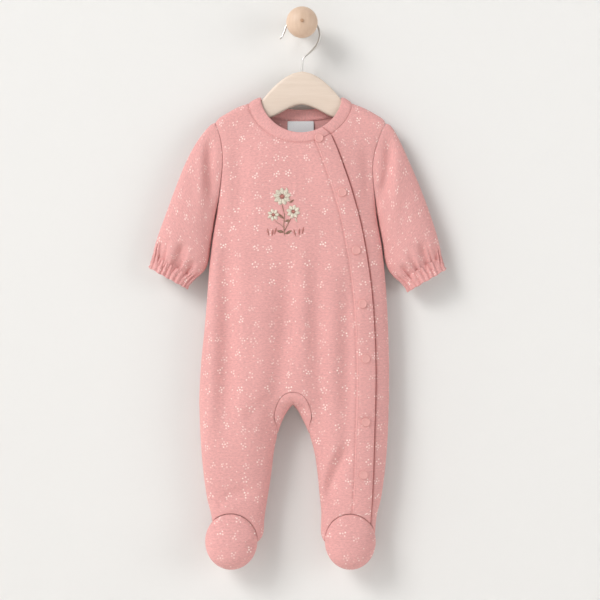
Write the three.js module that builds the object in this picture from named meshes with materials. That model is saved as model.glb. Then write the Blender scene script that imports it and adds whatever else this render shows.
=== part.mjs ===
// A footed baby sleepsuit on a wooden hanger, hung by its wire hook from a round wall peg.
// Millimetres, +Z up, the wall is the plane y = 0 and the garment faces -Y.
// The origin is the middle of the peg's back face, where the peg meets the wall.
import * as THREE from "three";

// Driving dimensions
const HANG_Y = -20; // the plane that the hook, the hanger and the side seams lie in
const CLOTH = 1.6; // cotton interlock
const BINDING_WALL = 1.8;
const CUFF_WALL = 2.0; // cloth turned over elastic
const PLACKET_WALL = 1.0;
const PLACKET_GAP = 0.3; // between the facing and the panel it lies on
const SEAM = 0.4; // space between two pieces at a seam
const RIDGE_RADIUS = 9; // how far the cloth rounds over the hanger's top edge
const CHEST_DROP = 90; // this far below the shoulder the cloth is at its full depth
const CHEST_Z = -215; // the first level row of a panel
const UNDERARM_Z = -239;
const CROTCH_X = -11.4;
const CROTCH_Z = -482.6;
const CROTCH_ROUND = 36; // height over which the crotch rolls from front to back
const ANKLE_Z = -600; // the last level row of a panel
const UNDERLAP = 20; // the under panel reaches this far beneath the closure
const PLACKET_WIDTH = 23;
const LIFT = 2.5; // the closure stands this far above the under panel

// Sections of the body: left and right are its outline from the front, armholes down to
// z -239 and then side seams; front and back are its greatest depth; widen opens the section
// where a sleeve goes on, so that its edge is not closed there.
const BODY = [
  { z: -100, left: -110, right: 106, front: 21, back: 12, widen: 0.06 },
  { z: -124, left: -110, right: 106, front: 21, back: 12, widen: 0.06 },
  { z: -134, left: -106.2, right: 101.5, front: 21, back: 12, widen: 0.065 },
  { z: -147, left: -102.7, right: 96.5, front: 22, back: 12, widen: 0.07 },
  { z: -164, left: -100.7, right: 91.5, front: 22, back: 13, widen: 0.07 },
  { z: -181, left: -100.7, right: 89.4, front: 22, back: 13, widen: 0.07 },
  { z: -203, left: -102.9, right: 90.5, front: 23, back: 13, widen: 0.05 },
  { z: -222, left: -105.4, right: 92.8, front: 23, back: 13, widen: 0.02 },
  { z: -239, left: -108.8, right: 95, front: 24, back: 14, widen: 0 },
  { z: -256, left: -111.6, right: 97.6, front: 24, back: 14, widen: 0 },
  { z: -280, left: -115, right: 101.8, front: 25, back: 14, widen: 0 },
  { z: -307, left: -118, right: 104.7, front: 25, back: 15, widen: 0 },
  { z: -340, left: -120.5, right: 107.5, front: 26, back: 15, widen: 0 },
  { z: -382, left: -123.8, right: 109.8, front: 27, back: 15, widen: 0 },
  { z: -430, left: -128.6, right: 111, front: 27, back: 15, widen: 0 },
  { z: -475, left: -130.6, right: 110.8, front: 26, back: 15, widen: 0 },
  { z: -520, left: -129.4, right: 109.4, front: 24, back: 14, widen: 0 },
  { z: -560, left: -126.4, right: 106.4, front: 22, back: 14, widen: 0 },
  { z: -600, left: -121, right: 101, front: 20, back: 13, widen: 0 },
  { z: -618, left: -116.4, right: 96.4, front: 19, back: 13, widen: 0 },
  { z: -630, left: -114.6, right: 94.4, front: 18, back: 13, widen: 0 },
  { z: -646, left: -114.6, right: 93.2, front: 17, back: 12, widen: 0 },
  { z: -660, left: -114.6, right: 93.2, front: 16, back: 12, widen: 0 },
];

// The inner edges of the two legs, from the crotch down to the heels.
const INSEAMS = [
  { z: -482.6, left: -11.4, right: -11.4 },
  { z: -490, left: -17.6, right: -5.6 },
  { z: -499, left: -22.8, right: -0.6 },
  { z: -516, left: -29.8, right: 7.8 },
  { z: -540, left: -35.2, right: 15.2 },
  { z: -569, left: -38.8, right: 19.6 },
  { z: -598, left: -43.2, right: 22.4 },
  { z: -615, left: -46, right: 24.3 },
  { z: -628, left: -47.8, right: 24.4 },
  { z: -640, left: -48.3, right: 24 },
  { z: -648, left: -49.6, right: 24.6 },
  { z: -655.6, left: -55.9, right: 28.4 },
];

// The line along the top of the shoulders. Between the neck points it is only the height
// that the depth of the chest is counted from.
const RIDGE = [
  { x: -112, z: -125.5 },
  { x: -105, z: -118 },
  { x: -98, z: -113.6 },
  { x: -82, z: -104.6 },
  { x: -67.5, z: -99 },
  { x: -52.7, z: -91.3 },
  { x: -38, z: -82.5 },
  { x: 0, z: -68 },
  { x: 38, z: -82.5 },
  { x: 50.9, z: -91.3 },
  { x: 63.5, z: -99 },
  { x: 80, z: -106 },
  { x: 97, z: -115.4 },
  { x: 104, z: -120.5 },
  { x: 108, z: -127.5 },
];

// The closure's edge, from the neck seam to the foot.
const CLOSURE = [
  { z: -128, x: 29 },
  { z: -139.8, x: 35.6 },
  { z: -160, x: 44.5 },
  { z: -183, x: 52.9 },
  { z: -209, x: 61.8 },
  { z: -249, x: 72.8 },
  { z: -278, x: 78.6 },
  { z: -306, x: 83.3 },
  { z: -338, x: 87.4 },
  { z: -383, x: 90.7 },
  { z: -446, x: 92.4 },
  { z: -510, x: 90.9 },
  { z: -593, x: 88.3 },
  { z: -634, x: 85.6 },
];

// Soft troughs (depth above 0) and ridges (below 0) from point a to point b of the front view.
// bow pushes the middle of the line sideways, width is the fall-off to each side.
const FRONT_FOLDS = [
  { ax: -98, az: -250, bx: -100, bz: -520, bow: 5, width: 12, depth: 3.4 },
  { ax: -75, az: -290, bx: -76, bz: -560, bow: 2, width: 14, depth: -1.6 },
  { ax: -24, az: -300, bx: -45, bz: -520, bow: 7, width: 12, depth: 3.2 },
  { ax: -50, az: -300, bx: -62, bz: -560, bow: 3, width: 12, depth: -1.4 },
  { ax: 17, az: -290, bx: 24, bz: -560, bow: 0, width: 11, depth: 2.6 },
  { ax: 2, az: -280, bx: 2, bz: -440, bow: 0, width: 10, depth: -1.3 },
  { ax: 37, az: -300, bx: 38, bz: -560, bow: 0, width: 10, depth: -1.4 },
  { ax: 54, az: -330, bx: 50, bz: -545, bow: -3, width: 9, depth: 2.2 },
  { ax: 56, az: -540, bx: 34, bz: -606, bow: -3, width: 9, depth: 3.6 },
  { ax: -88, az: -142, bx: -84, bz: -250, bow: 3, width: 10, depth: 2.4 },
  { ax: 78, az: -150, bx: 82, bz: -235, bow: 3, width: 8, depth: 1.8 },
  { ax: -60, az: -590, bx: -104, bz: -604, bow: -4, width: 8, depth: 2.0 },
];
const BACK_FOLDS = [
  { ax: -60, az: -170, bx: -72, bz: -520, bow: 4, width: 13, depth: 2.2 },
  { ax: -8, az: -190, bx: -12, bz: -430, bow: -5, width: 14, depth: 2.4 },
  { ax: 46, az: -170, bx: 58, bz: -540, bow: -4, width: 13, depth: 2.2 },
  { ax: -95, az: -330, bx: -92, bz: -600, bow: 3, width: 11, depth: 1.6 },
  { ax: 84, az: -330, bx: 80, bz: -600, bow: -3, width: 11, depth: 1.6 },
];

// Sleeves from the armhole (t 0) to the cuff seam (t 1): o is a point of the outer edge, i of
// the underarm edge; front and back are the section's greatest depth.
const SLEEVE_LEFT = [
  { t: 0, ox: -110.4, oz: -124, ix: -109.6, iz: -239.4, front: 14, back: 10 },
  { t: 0.08, ox: -118, oz: -128.5, ix: -111.2, iz: -246, front: 14, back: 10.5 },
  { t: 0.2, ox: -132, oz: -146, ix: -112.7, iz: -257, front: 15, back: 11 },
  { t: 0.35, ox: -146, oz: -171, ix: -114.5, iz: -270, front: 16, back: 12 },
  { t: 0.5, ox: -158, oz: -200, ix: -116.3, iz: -283, front: 17.8, back: 12.5 },
  { t: 0.65, ox: -169.5, oz: -231, ix: -117.8, iz: -296, front: 17.8, back: 13 },
  { t: 0.8, ox: -180.5, oz: -261, ix: -121.6, iz: -308, front: 17, back: 13 },
  { t: 0.9, ox: -187, oz: -281, ix: -129, iz: -317, front: 15, back: 12 },
  { t: 1, ox: -190.5, oz: -299.5, ix: -140.5, iz: -325.8, front: 12, back: 11 },
];
const SLEEVE_RIGHT = [
  { t: 0, ox: 106.4, oz: -125, ix: 95.8, iz: -239.4, front: 14, back: 10 },
  { t: 0.08, ox: 113, oz: -128, ix: 97.2, iz: -247, front: 14, back: 10.5 },
  { t: 0.2, ox: 122.5, oz: -143, ix: 99, iz: -258, front: 15, back: 11 },
  { t: 0.35, ox: 134, oz: -168, ix: 101.3, iz: -271, front: 16, back: 12 },
  { t: 0.5, ox: 146, oz: -196, ix: 103.3, iz: -283, front: 17, back: 12.5 },
  { t: 0.65, ox: 158.5, oz: -228, ix: 104.8, iz: -296, front: 17, back: 13 },
  { t: 0.8, ox: 170, oz: -262, ix: 109.4, iz: -310, front: 17, back: 13 },
  { t: 0.9, ox: 175.5, oz: -283, ix: 117.4, iz: -320.5, front: 15, back: 12 },
  { t: 1, ox: 178.5, oz: -302, ix: 128.6, iz: -329, front: 12, back: 11 },
];
const SLEEVE_ROWS = [0, 0.05, 0.12, 0.22, 0.34, 0.46, 0.58, 0.69, 0.78, 0.85, 0.91, 0.96, 1];
const SLEEVE_LEFT_FOLDS = [
  { ax: -117, az: -146, bx: -114, bz: -226, bow: -2, width: 6, depth: 4.5 },
  { ax: -124, az: -160, bx: -128, bz: -250, bow: -2, width: 8, depth: -1.5 },
  { ax: -150, az: -278, bx: -162, bz: -312, bow: 0, width: 5, depth: 4 },
  { ax: -178, az: -272, bx: -182, bz: -302, bow: 1, width: 5, depth: 3.4 },
  { ax: -136, az: -300, bx: -150, bz: -318, bow: 0, width: 4.5, depth: 2.6 },
];
const SLEEVE_RIGHT_FOLDS = [
  { ax: 111, az: -142, bx: 99, bz: -226, bow: 3, width: 7, depth: 4.5 },
  { ax: 120, az: -160, bx: 114, bz: -250, bow: 2, width: 8, depth: -1.5 },
  { ax: 151, az: -276, bx: 161, bz: -313, bow: -1, width: 5, depth: 4 },
  { ax: 168, az: -280, bx: 172, bz: -306, bow: 0, width: 5, depth: 3.2 },
  { ax: 126, az: -306, bx: 141, bz: -322, bow: 0, width: 4.5, depth: 2.6 },
];
// The gathered cuffs end here, and their waves stand up from a plain inside.
const CUFF_LEFT_END = { ox: -193.8, oz: -308.4, ix: -146.4, iz: -334.6 };
const CUFF_RIGHT_END = { ox: 182.2, oz: -310.8, ix: 135, iz: -338.4 };
const CUFF = { waves: 22, points_per_wave: 4, wave: 0.8, rows: [1.035, 1.5, 2] };

// Each foot's outline is an ellipse, and the leg's side edges reach it at outer and inner.
const FOOT_LEFT = { x: -89.5, z: -654.3, rx: 33.4, rz: 35.9, outer: 138, inner: -2 };
const FOOT_RIGHT = { x: 61.2, z: -654.3, rx: 32.6, rz: 35.9, outer: 15, inner: 182 };
const FOOT = { upper: 25, sole: 13, sole_centre: 10, toe_forward: 9, heel_dip: 5 };

// The neck: the loop where the binding is sewn on, and its free edge.
// Angle 0 is the neck point on the closure's side, 90 the front, 180 the other, 270 the back.
const NECK_SEAM = { x: -2, rx: 65.5, z: -99, front_drop: 51.4, back_drop: 20.5 };
const NECK_EDGE = { x: -0.9, rx: 51.8, z: -91.3, front_drop: 46.4, back_drop: 15 };
const NECK_POWER = 1.15;
const BINDING_END_SLANT = 6; // degrees between the binding's end at the seam and at the edge

// The gusset: an arch sewn in over the crotch, drawn out to a point down each inseam.
const GUSSET = { x: -11.4, half: 25, top: -465, foot: -512, tip: -518, tip_width: 0.8, inset: 0.5 };

// Shares of a panel's width at which its columns run, closest where the cloth turns over.
const LEFT_COLUMNS = [0, 0.02, 0.07, 0.16, 0.29, 0.43, 0.52, 0.62, 0.73, 0.83, 0.92, 0.98, 1];
const MIDDLE_COLUMNS = [0, 0.02, 0.08, 0.18, 0.33, 0.52, 0.75, 1];
const PLACKET_COLUMNS = [0, 1 / 3, 2 / 3, 1];
const SIDE_COLUMNS = [0, 0.1, 0.2, 0.3, 0.4, 0.5, 0.63, 0.76, 0.87, 0.95, 0.985, 1];
const RIGHT_COLUMNS = [0, 0.02, 0.08, 0.17, 0.28, 0.4, 0.52, 0.64, 0.77, 0.88, 0.95, 0.985, 1];
const NECK_POINT = { left: 0.43, side: 0.5, right: 0.64 };

// Rows from the shoulder to CHEST_Z as shares, then heights, then shares down to the foot seam.
const YOKE_ROWS = [0, 0.015, 0.05, 0.11, 0.22, 0.42, 0.7, 1];
const BODY_ROWS = [-231, -239, -268, -310, -355, -400, -440];
const ARCH_ROWS = [0, 1.8, 5.4, 12, 22, 36, 53]; // below the gusset's top
const LEG_ROWS = [-524, -548, -575, ANKLE_Z];
const FOOT_ROWS = [0.35, 0.7, 1];
const BACK_CUTS = [-290, GUSSET.top]; // the back's chest, hips and legs are solids of their own
const SIDE_CUTS = [GUSSET.top];

const SNAPS = [
  { z: -145.4, x: 21.4 },
  { z: -213.6, x: 50.4 },
  { z: -286.4, x: 68 },
  { z: -353.8, x: 76 },
  { z: -422.9, x: 80 },
  { z: -502.3, x: 80 },
  { z: -568.7, x: 77.4 },
];
const SNAP = { radius: 5.5, height: 2.0, dish: 1.2, rim: 1.6, gap: 0.45 };
const LABEL = { x: -1.6, width: 34, top: -121, length: 21, thickness: 0.7, gap: 0.5 };

// Hanger outlines for x from 0 outwards. The top is seen as far as the binding, and from
// there it follows the shoulders at the clearance.
const HANGER_TOP = [
  { x: 0, z: -58.9 },
  { x: 11.9, z: -61.8 },
  { x: 23.4, z: -68.1 },
  { x: 34.7, z: -77.7 },
  { x: 41.4, z: -84.6 },
  { x: 46, z: -90.0 },
];
const HANGER_UNDER = [
  { x: 95, z: -134 },
  { x: 80, z: -130 },
  { x: 60, z: -124.6 },
  { x: 35.8, z: -115.6 },
  { x: 18.8, z: -106.7 },
  { x: 7.5, z: -102.1 },
];
const HANGER = { half: 6, bevel: 3, clearance: 4, arms: [50.5, 56, 63, 72, 82, 90], reach: 97, arch: -101 };
const HOOK = { wire: 1.3, sides: 8, steps: 38, radius: 22.6, z: -12.4, from: 178, to: -4, turns: 18 };
const HOOK_TIP = [
  { x: -28.4, z: -17.6 },
  { x: -25.2, z: -14.4 },
];
const HOOK_STEM = [
  { x: 21.1, z: -20.3 },
  { x: 17.4, z: -27.4 },
  { x: 10.8, z: -34 },
  { x: 4.3, z: -39.2 },
  { x: 1.4, z: -42.6 },
  { x: 0.6, z: -47.6 },
  { x: 0.3, z: -54 },
];
const PEG = { foot: 12, neck: 8.8, ball: 19.8, ball_y: -43.5, ball_half: 14.5, sides: 22, plug: 2.2 };

const degrees = Math.PI / 180;
const mix = (a, b, t) => a + (b - a) * t;
const clamp = (v) => Math.min(1, Math.max(0, v));
const smooth = (a, b, v) => {
  const t = clamp((v - a) / (b - a));
  return t * t * (3 - 2 * t);
};

// A smooth curve through a table: cubic pieces whose slopes come from the neighbouring rows.
function through(rows, key, name) {
  const at = rows.map((row) => row[key]);
  const value = rows.map((row) => row[name]);
  const rising = at[1] > at[0];
  const last = at.length - 1;
  const slope = at.map((_, i) => {
    const a = Math.max(0, i - 1);
    const b = Math.min(last, i + 1);
    return (value[b] - value[a]) / (at[b] - at[a]);
  });
  return (where) => {
    let i = 0;
    while (i < last - 1 && (rising ? where > at[i + 1] : where < at[i + 1])) i++;
    const span = at[i + 1] - at[i];
    const t = clamp((where - at[i]) / span);
    const rise = t * t * (3 - 2 * t);
    const leave = t * (1 - t) * (1 - t) * slope[i];
    const arrive = t * t * (t - 1) * slope[i + 1];
    return mix(value[i], value[i + 1], rise) + span * (leave + arrive);
  };
}

const ridge = through(RIDGE, "x", "z");
const closure = through(CLOSURE, "z", "x");
const outline = { left: through(BODY, "z", "left"), right: through(BODY, "z", "right") };
const greatest = { front: through(BODY, "z", "front"), back: through(BODY, "z", "back") };
const widened = through(BODY, "z", "widen");
const inseam = { left: through(INSEAMS, "z", "left"), right: through(INSEAMS, "z", "right") };

// A rounded section: 1 in the middle, 0 at lo and hi, squarer as power grows.
function rounded(x, lo, hi, power, widen = 0) {
  const half = ((hi - lo) / 2) * (1 + widen);
  const t = clamp(Math.abs((x - (lo + hi) / 2) / half));
  return Math.pow(1 - Math.pow(t, power), 1 / power);
}

// A quarter circle that rises from 0 to 1 over the first unit.
const quarter = (u) => Math.sqrt(1 - (1 - clamp(u)) ** 2);

// What a list of folds takes off the depth at a point of the front view.
function foldDepth(folds, x, z) {
  let sum = 0;
  for (const f of folds) {
    const dx = f.bx - f.ax;
    const dz = f.bz - f.az;
    const long = Math.hypot(dx, dz);
    const share = ((x - f.ax) * dx + (z - f.az) * dz) / (long * long);
    const side = ((z - f.az) * dx - (x - f.ax) * dz) / long;
    const off = (side - f.bow * 4 * share * (1 - share)) / f.width;
    const ends = smooth(-0.12, 0.3, share) * (1 - smooth(0.7, 1.12, share));
    sum += f.depth * ends * Math.exp(-off * off);
  }
  return sum;
}

// How far the front or the back stands out from the hang plane at a point of the front view.
function bodyDepth(side, x, z) {
  const below = ridge(x) - z;
  const left = outline.left(z);
  const right = outline.right(z);
  const hang = smooth(0, CHEST_DROP, below);
  const boxy = rounded(x, left, right, 6, widened(z));
  const soft = rounded(x, left, right, 2.6, widened(z));
  const torso = mix(boxy, soft, hang);
  const above = clamp((z - CROTCH_Z) / CROTCH_ROUND);
  const split = Math.min(z, CROTCH_Z);
  const open = 0.3 * above;
  const legs =
    x < CROTCH_X
      ? rounded(x, left, inseam.left(split), 2.3, open)
      : rounded(x, inseam.right(split), right, 2.3, open);
  const shape = mix(legs, torso, quarter(above));
  const height = RIDGE_RADIUS * quarter(below / RIDGE_RADIUS) + (greatest[side](z) - RIDGE_RADIUS) * hang;
  const folds = foldDepth(side === "front" ? FRONT_FOLDS : BACK_FOLDS, x, z);
  return Math.max(0, height * shape - folds * smooth(0, 0.85, shape) * smooth(0, 60, below));
}

// Outward direction of the front or the back. Along an edge where both meet it has no y.
function bodyNormal(side, x, z) {
  const step = 0.5;
  const depth = bodyDepth(side, x, z);
  const across = (bodyDepth(side, x + step, z) - bodyDepth(side, x - step, z)) / (2 * step);
  const down = (bodyDepth(side, x, z + step) - bodyDepth(side, x, z - step)) / (2 * step);
  const facing = Math.min(1, depth / 3) * (side === "front" ? -1 : 1);
  return new THREE.Vector3(-across, facing, -down).normalize();
}

// The feet hang toes forward, so the plane between front and back leans out below the ankle.
const middleY = (z) => HANG_Y - FOOT.toe_forward * smooth(-618, -690, z);

// A place on the cloth: p on its outside, n its outward direction, q on its inside.
function onBody(side, x, z, raise = 0, thickness = CLOTH) {
  const away = side === "front" ? -1 : 1;
  const y = middleY(z) + away * (SEAM / 2 + bodyDepth(side, x, z));
  const n = bodyNormal(side, x, z);
  const p = new THREE.Vector3(x, y, z).addScaledVector(n, raise);
  return { p, n, q: p.clone().addScaledVector(n, -thickness) };
}

// The same on the upper panel, which lifts over the panel beneath along the closure.
function onUpper(x, z, raise = 0, thickness = CLOTH) {
  const place = onBody("front", x, z, raise, thickness);
  const lift = LIFT * (1 - smooth(UNDERLAP + 4, UNDERLAP + 34, closure(z) - x));
  place.p.y -= lift;
  place.q.y -= lift;
  return place;
}

// A cloth wall from patches, each a list of rows of places. Places that coincide are welded,
// the outside is joined to the inside along every free edge, and outward gives the direction
// that the outside has at a place.
function clothWall(patches, outward, around = false) {
  const places = [];
  const index = new Map();
  const idOf = (place) => {
    const key = [place.p.x, place.p.y, place.p.z].map((c) => Math.round(c * 400)).join();
    if (!index.has(key)) {
      index.set(key, places.length);
      places.push(place);
    }
    return index.get(key);
  };
  const faces = [];
  for (const rows of patches) {
    const ids = rows.map((row) => row.map(idOf));
    const count = ids[0].length;
    for (let j = 0; j + 1 < ids.length; j++)
      for (let i = 0; i < (around ? count : count - 1); i++) {
        const k = (i + 1) % count;
        const quad = [ids[j][i], ids[j + 1][i], ids[j + 1][k], ids[j][k]];
        const corner = (c) => places[quad[c]].p;
        const first = corner(0).distanceTo(corner(2)) <= corner(1).distanceTo(corner(3));
        const [a, b, c, d] = first ? quad : [...quad.slice(1), quad[0]];
        for (const face of [[a, b, c], [a, c, d]]) if (new Set(face).size === 3) faces.push(face);
      }
  }
  let facing = 0;
  for (const [a, b, c] of faces) {
    const ab = places[b].p.clone().sub(places[a].p);
    const ac = places[c].p.clone().sub(places[a].p);
    facing += ab.cross(ac).dot(outward(places[a]));
  }
  if (facing < 0) for (const face of faces) face.reverse();
  const edges = new Map();
  for (const face of faces)
    for (let e = 0; e < 3; e++) {
      const pair = [face[e], face[(e + 1) % 3]];
      edges.set(pair.join(), pair);
    }
  const inner = places.length;
  const all = [...faces, ...faces.map(([a, b, c]) => [a + inner, c + inner, b + inner])];
  for (const [a, b] of edges.values())
    if (!edges.has([b, a].join())) all.push([b, a, a + inner], [b, a + inner, b + inner]);
  const points = [...places.map((place) => place.p), ...places.map((place) => place.q)];
  return new THREE.BufferGeometry()
    .setAttribute("position", new THREE.Float32BufferAttribute(points.flatMap((p) => [...p]), 3))
    .setIndex(all.flat());
}
const outwards = ({ p, q }) => p.clone().sub(q);

// A point of a neck loop; v runs from the seam (0) to the free edge (1).
function neckPoint(angle, v) {
  const cos = Math.cos(angle * degrees);
  const sin = Math.sin(angle * degrees);
  const drop = sin > 0 ? "front_drop" : "back_drop";
  const of = (name) => mix(NECK_SEAM[name], NECK_EDGE[name], v);
  const fall = of(drop) * Math.pow(Math.abs(sin), NECK_POWER);
  return { x: of("x") + of("rx") * cos, z: of("z") - fall };
}
const SEAM_SHARE = 0.015; // half a seam's space, as a share of the binding's width

// The angle at which a curve of points crosses a line beside the closure.
function crossing(pointAt, beside, from, to) {
  const off = (angle) => pointAt(angle).x - (closure(pointAt(angle).z) - beside);
  let lo = from;
  let hi = to;
  for (let i = 0; i < 40; i++) {
    const middle = (lo + hi) / 2;
    if (off(middle) > 0 === off(lo) > 0) lo = middle;
    else hi = middle;
  }
  return lo;
}
const seamAt = (angle) => neckPoint(angle, 0);
const closureAngle = crossing(seamAt, 0, 10, 90);
const placketAngle = crossing(seamAt, PLACKET_WIDTH, 10, 120);
const underlapAngle = crossing(seamAt, UNDERLAP, 10, 120);
const middleAngle = Math.acos((GUSSET.x - NECK_SEAM.x) / NECK_SEAM.rx) / degrees;

// Neck angles at shares of the way from a neck point; they start closer together.
const neckAngle = (from, to, share) => mix(from, to, Math.pow(share, 1.5));

// The top edge of a panel: a shoulder line to the neck point, then along the neck seam.
function shoulderThenNeck(tip, from, to, corner) {
  return (g) => {
    if (g > corner) return neckPoint(neckAngle(from, to, (g - corner) / (1 - corner)), -SEAM_SHARE);
    const x = mix(tip, neckPoint(from, -SEAM_SHARE).x, g / corner);
    return { x, z: ridge(x) };
  };
}
const mirrored = (top) => (g) => top(1 - g);
const neckOnly = (from, to) => (g) => neckPoint(mix(from, to, g), -SEAM_SHARE);

// A four-sided patch of the front view between a top edge and a bottom edge, whose sides
// follow the curves lo and hi. Both edges run over shares 0 to 1.
function between(lo, hi, top, bottom) {
  return (g, v) => {
    const at = (edge, e) => mix(edge(0)[e], edge(1)[e], g);
    const zLo = mix(top(0).z, bottom(0).z, v);
    const zHi = mix(top(1).z, bottom(1).z, v);
    const ruled = { x: mix(lo(zLo), hi(zHi), g), z: mix(zLo, zHi, g) };
    const shape = (e) =>
      ruled[e] + (1 - v) * (top(g)[e] - at(top, e)) + v * (bottom(g)[e] - at(bottom, e));
    return { x: shape("x"), z: shape("z") };
  };
}

// All the rows of one panel, from its top edge, past level rows, to the foot seam. A panel that
// is built in bands has a row on each side of every cut.
function panelRows({ lo, hi, top, bottom, columns, place, middle = ARCH_ROWS, cuts = [] }) {
  const level = (z) => (g) => ({ x: mix(lo(z), hi(z), g), z });
  const yoke = between(lo, hi, top, level(CHEST_Z));
  const foot = between(lo, hi, level(ANKLE_Z), bottom);
  const arch = middle.map((down) => GUSSET.top + SEAM / 2 - down);
  const edges = cuts.flatMap((z) => [z + SEAM / 2, z - SEAM / 2]);
  const levels = [...new Set([...BODY_ROWS, ...arch, ...LEG_ROWS, ...edges])].sort((a, b) => b - a);
  const put = ({ x, z }) => place(x, z);
  return [
    ...YOKE_ROWS.map((v) => columns.map((g) => put(yoke(g, v)))),
    ...levels.map((z) => columns.map((g) => put(level(z)(g)))),
    ...FOOT_ROWS.map((v) => columns.map((g) => put(foot(g, v)))),
  ];
}

// A panel's rows as bands, parted at the cuts.
function bandsOf(rows, cuts) {
  const ends = cuts.map((z) => rows.findIndex((row) => row[0].p.z < z));
  return [...ends, rows.length].map((end, i) => rows.slice(i ? ends[i - 1] : 0, end));
}

// The gusset's outline, grown outwards by part of a seam.
function archX(leg, z, grow) {
  const way = leg === "left" ? -1 : 1;
  const rise = clamp((z - GUSSET.foot) / (GUSSET.top + grow - GUSSET.foot));
  const round = Math.pow(1 - Math.pow(rise, 2.2), 0.4);
  const arch = GUSSET.x + way * (GUSSET.half + grow) * round;
  const tip = inseam[leg](Math.min(z, CROTCH_Z)) + way * (GUSSET.tip_width + grow);
  return mix(arch, tip, smooth(-496, GUSSET.tip, z));
}

// The inner border of a leg: the middle, then around the gusset, then down the inseam.
const legBorder = (leg) => (z) => {
  if (z > GUSSET.top + SEAM / 2 - 0.01) return GUSSET.x;
  return z < GUSSET.tip - 3 ? inseam[leg](z) : archX(leg, z, SEAM / 2);
};

// A point of a foot's outline, grown outwards by a share.
const footPoint = (foot, grow = 0) => (angle) => ({
  x: foot.x + foot.rx * (1 + grow) * Math.cos(angle * degrees),
  z: foot.z + foot.rz * (1 + grow) * Math.sin(angle * degrees),
});
const FOOT_SEAM = 0.006; // half a seam's space, as a share of the foot's radius
const footEdge = (foot, from, to) => (g) => footPoint(foot, FOOT_SEAM)(mix(from, to, g));

// The back of a leg ends in a heel seam that dips between the foot's two corners.
const heelEdge = (foot, from, to, shift) => (g) => {
  const a = footPoint(foot)(from);
  const b = footPoint(foot)(to);
  const dip = FOOT.heel_dip * Math.sin(Math.PI * g);
  return { x: mix(a.x, b.x, g), z: mix(a.z, b.z, g) - dip + shift };
};

// The last row of a leg keeps its inside clear of the foot, which fills the outline.
function clearOfFoot(rows, foot) {
  const reach = (point) => Math.hypot((point.x - foot.x) / foot.rx, (point.z - foot.z) / foot.rz);
  for (const place of rows[rows.length - 1]) {
    const least = 1 + 1.5 * FOOT_SEAM;
    if (reach(place.q) >= least) continue;
    place.q.set(place.p.x, place.q.y, place.p.z + CLOTH);
    const grow = Math.max(1, least / reach(place.q));
    place.q.x = foot.x + (place.q.x - foot.x) * grow;
    place.q.z = foot.z + (place.q.z - foot.z) * grow;
  }
  return rows;
}

const closureFoot = crossing(footPoint(FOOT_RIGHT), 0, 10, 90);
const placketFoot = crossing(footPoint(FOOT_RIGHT), PLACKET_WIDTH, 10, 150);
const underlapFoot = crossing(footPoint(FOOT_RIGHT), UNDERLAP, 10, 150);
const placketLine = (z) => closure(z) - PLACKET_WIDTH;
const TIP = { left: -110, right: 106 };

// The upper front panel: the whole of one leg, and the other as far as the closure.
const placketPatch = {
  lo: placketLine,
  hi: closure,
  top: neckOnly(placketAngle, closureAngle),
  bottom: footEdge(FOOT_RIGHT, placketFoot, closureFoot),
  columns: PLACKET_COLUMNS,
};
function frontPanel() {
  const left = panelRows({
    lo: outline.left,
    hi: legBorder("left"),
    top: shoulderThenNeck(TIP.left, 180, middleAngle, NECK_POINT.left),
    bottom: footEdge(FOOT_LEFT, FOOT_LEFT.outer, FOOT_LEFT.inner),
    columns: LEFT_COLUMNS,
    place: onUpper,
  });
  const middle = panelRows({
    lo: legBorder("right"),
    hi: placketLine,
    top: neckOnly(middleAngle, placketAngle),
    bottom: footEdge(FOOT_RIGHT, FOOT_RIGHT.inner, placketFoot),
    columns: MIDDLE_COLUMNS,
    place: onUpper,
  });
  const edge = panelRows({ ...placketPatch, place: onUpper });
  const right = [clearOfFoot(middle, FOOT_RIGHT), clearOfFoot(edge, FOOT_RIGHT)];
  return clothWall([clearOfFoot(left, FOOT_LEFT), ...right], outwards);
}

// The under panel: from beneath the closure to the side seam, as two solids.
function sidePanel() {
  const rows = panelRows({
    lo: (z) => closure(z) - UNDERLAP,
    hi: outline.right,
    top: mirrored(shoulderThenNeck(TIP.right, 0, underlapAngle, NECK_POINT.side)),
    bottom: footEdge(FOOT_RIGHT, underlapFoot, FOOT_RIGHT.outer),
    columns: SIDE_COLUMNS,
    place: (x, z) => onBody("front", x, z),
    middle: [ARCH_ROWS[0], ARCH_ROWS[4]],
    cuts: SIDE_CUTS,
  });
  const [body, leg] = bandsOf(clearOfFoot(rows, FOOT_RIGHT), SIDE_CUTS);
  return {
    front_side_panel: clothWall([body], outwards),
    front_side_panel_leg: clothWall([leg], outwards),
  };
}

// The back, one cut piece, as four solids.
function backPanel() {
  const shared = { place: (x, z) => onBody("back", x, z), cuts: BACK_CUTS };
  const left = panelRows({
    ...shared,
    lo: outline.left,
    hi: legBorder("left"),
    top: shoulderThenNeck(TIP.left, 180, 360 - middleAngle, NECK_POINT.left),
    bottom: heelEdge(FOOT_LEFT, FOOT_LEFT.outer, FOOT_LEFT.inner, SEAM / 2),
    columns: LEFT_COLUMNS,
  });
  const right = panelRows({
    ...shared,
    lo: legBorder("right"),
    hi: outline.right,
    top: mirrored(shoulderThenNeck(TIP.right, 360, 360 - middleAngle, 1 - NECK_POINT.right)),
    bottom: heelEdge(FOOT_RIGHT, FOOT_RIGHT.inner, FOOT_RIGHT.outer, SEAM / 2),
    columns: RIGHT_COLUMNS,
  });
  const [leftChest, leftHip, leftLeg] = bandsOf(left, BACK_CUTS);
  const [rightChest, rightHip, rightLeg] = bandsOf(right, BACK_CUTS);
  return {
    back_panel_chest: clothWall([leftChest, rightChest], outwards),
    back_panel_hips: clothWall([leftHip, rightHip], outwards),
    back_panel_leg_left: clothWall([leftLeg], outwards),
    back_panel_leg_right: clothWall([rightLeg], outwards),
  };
}

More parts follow.
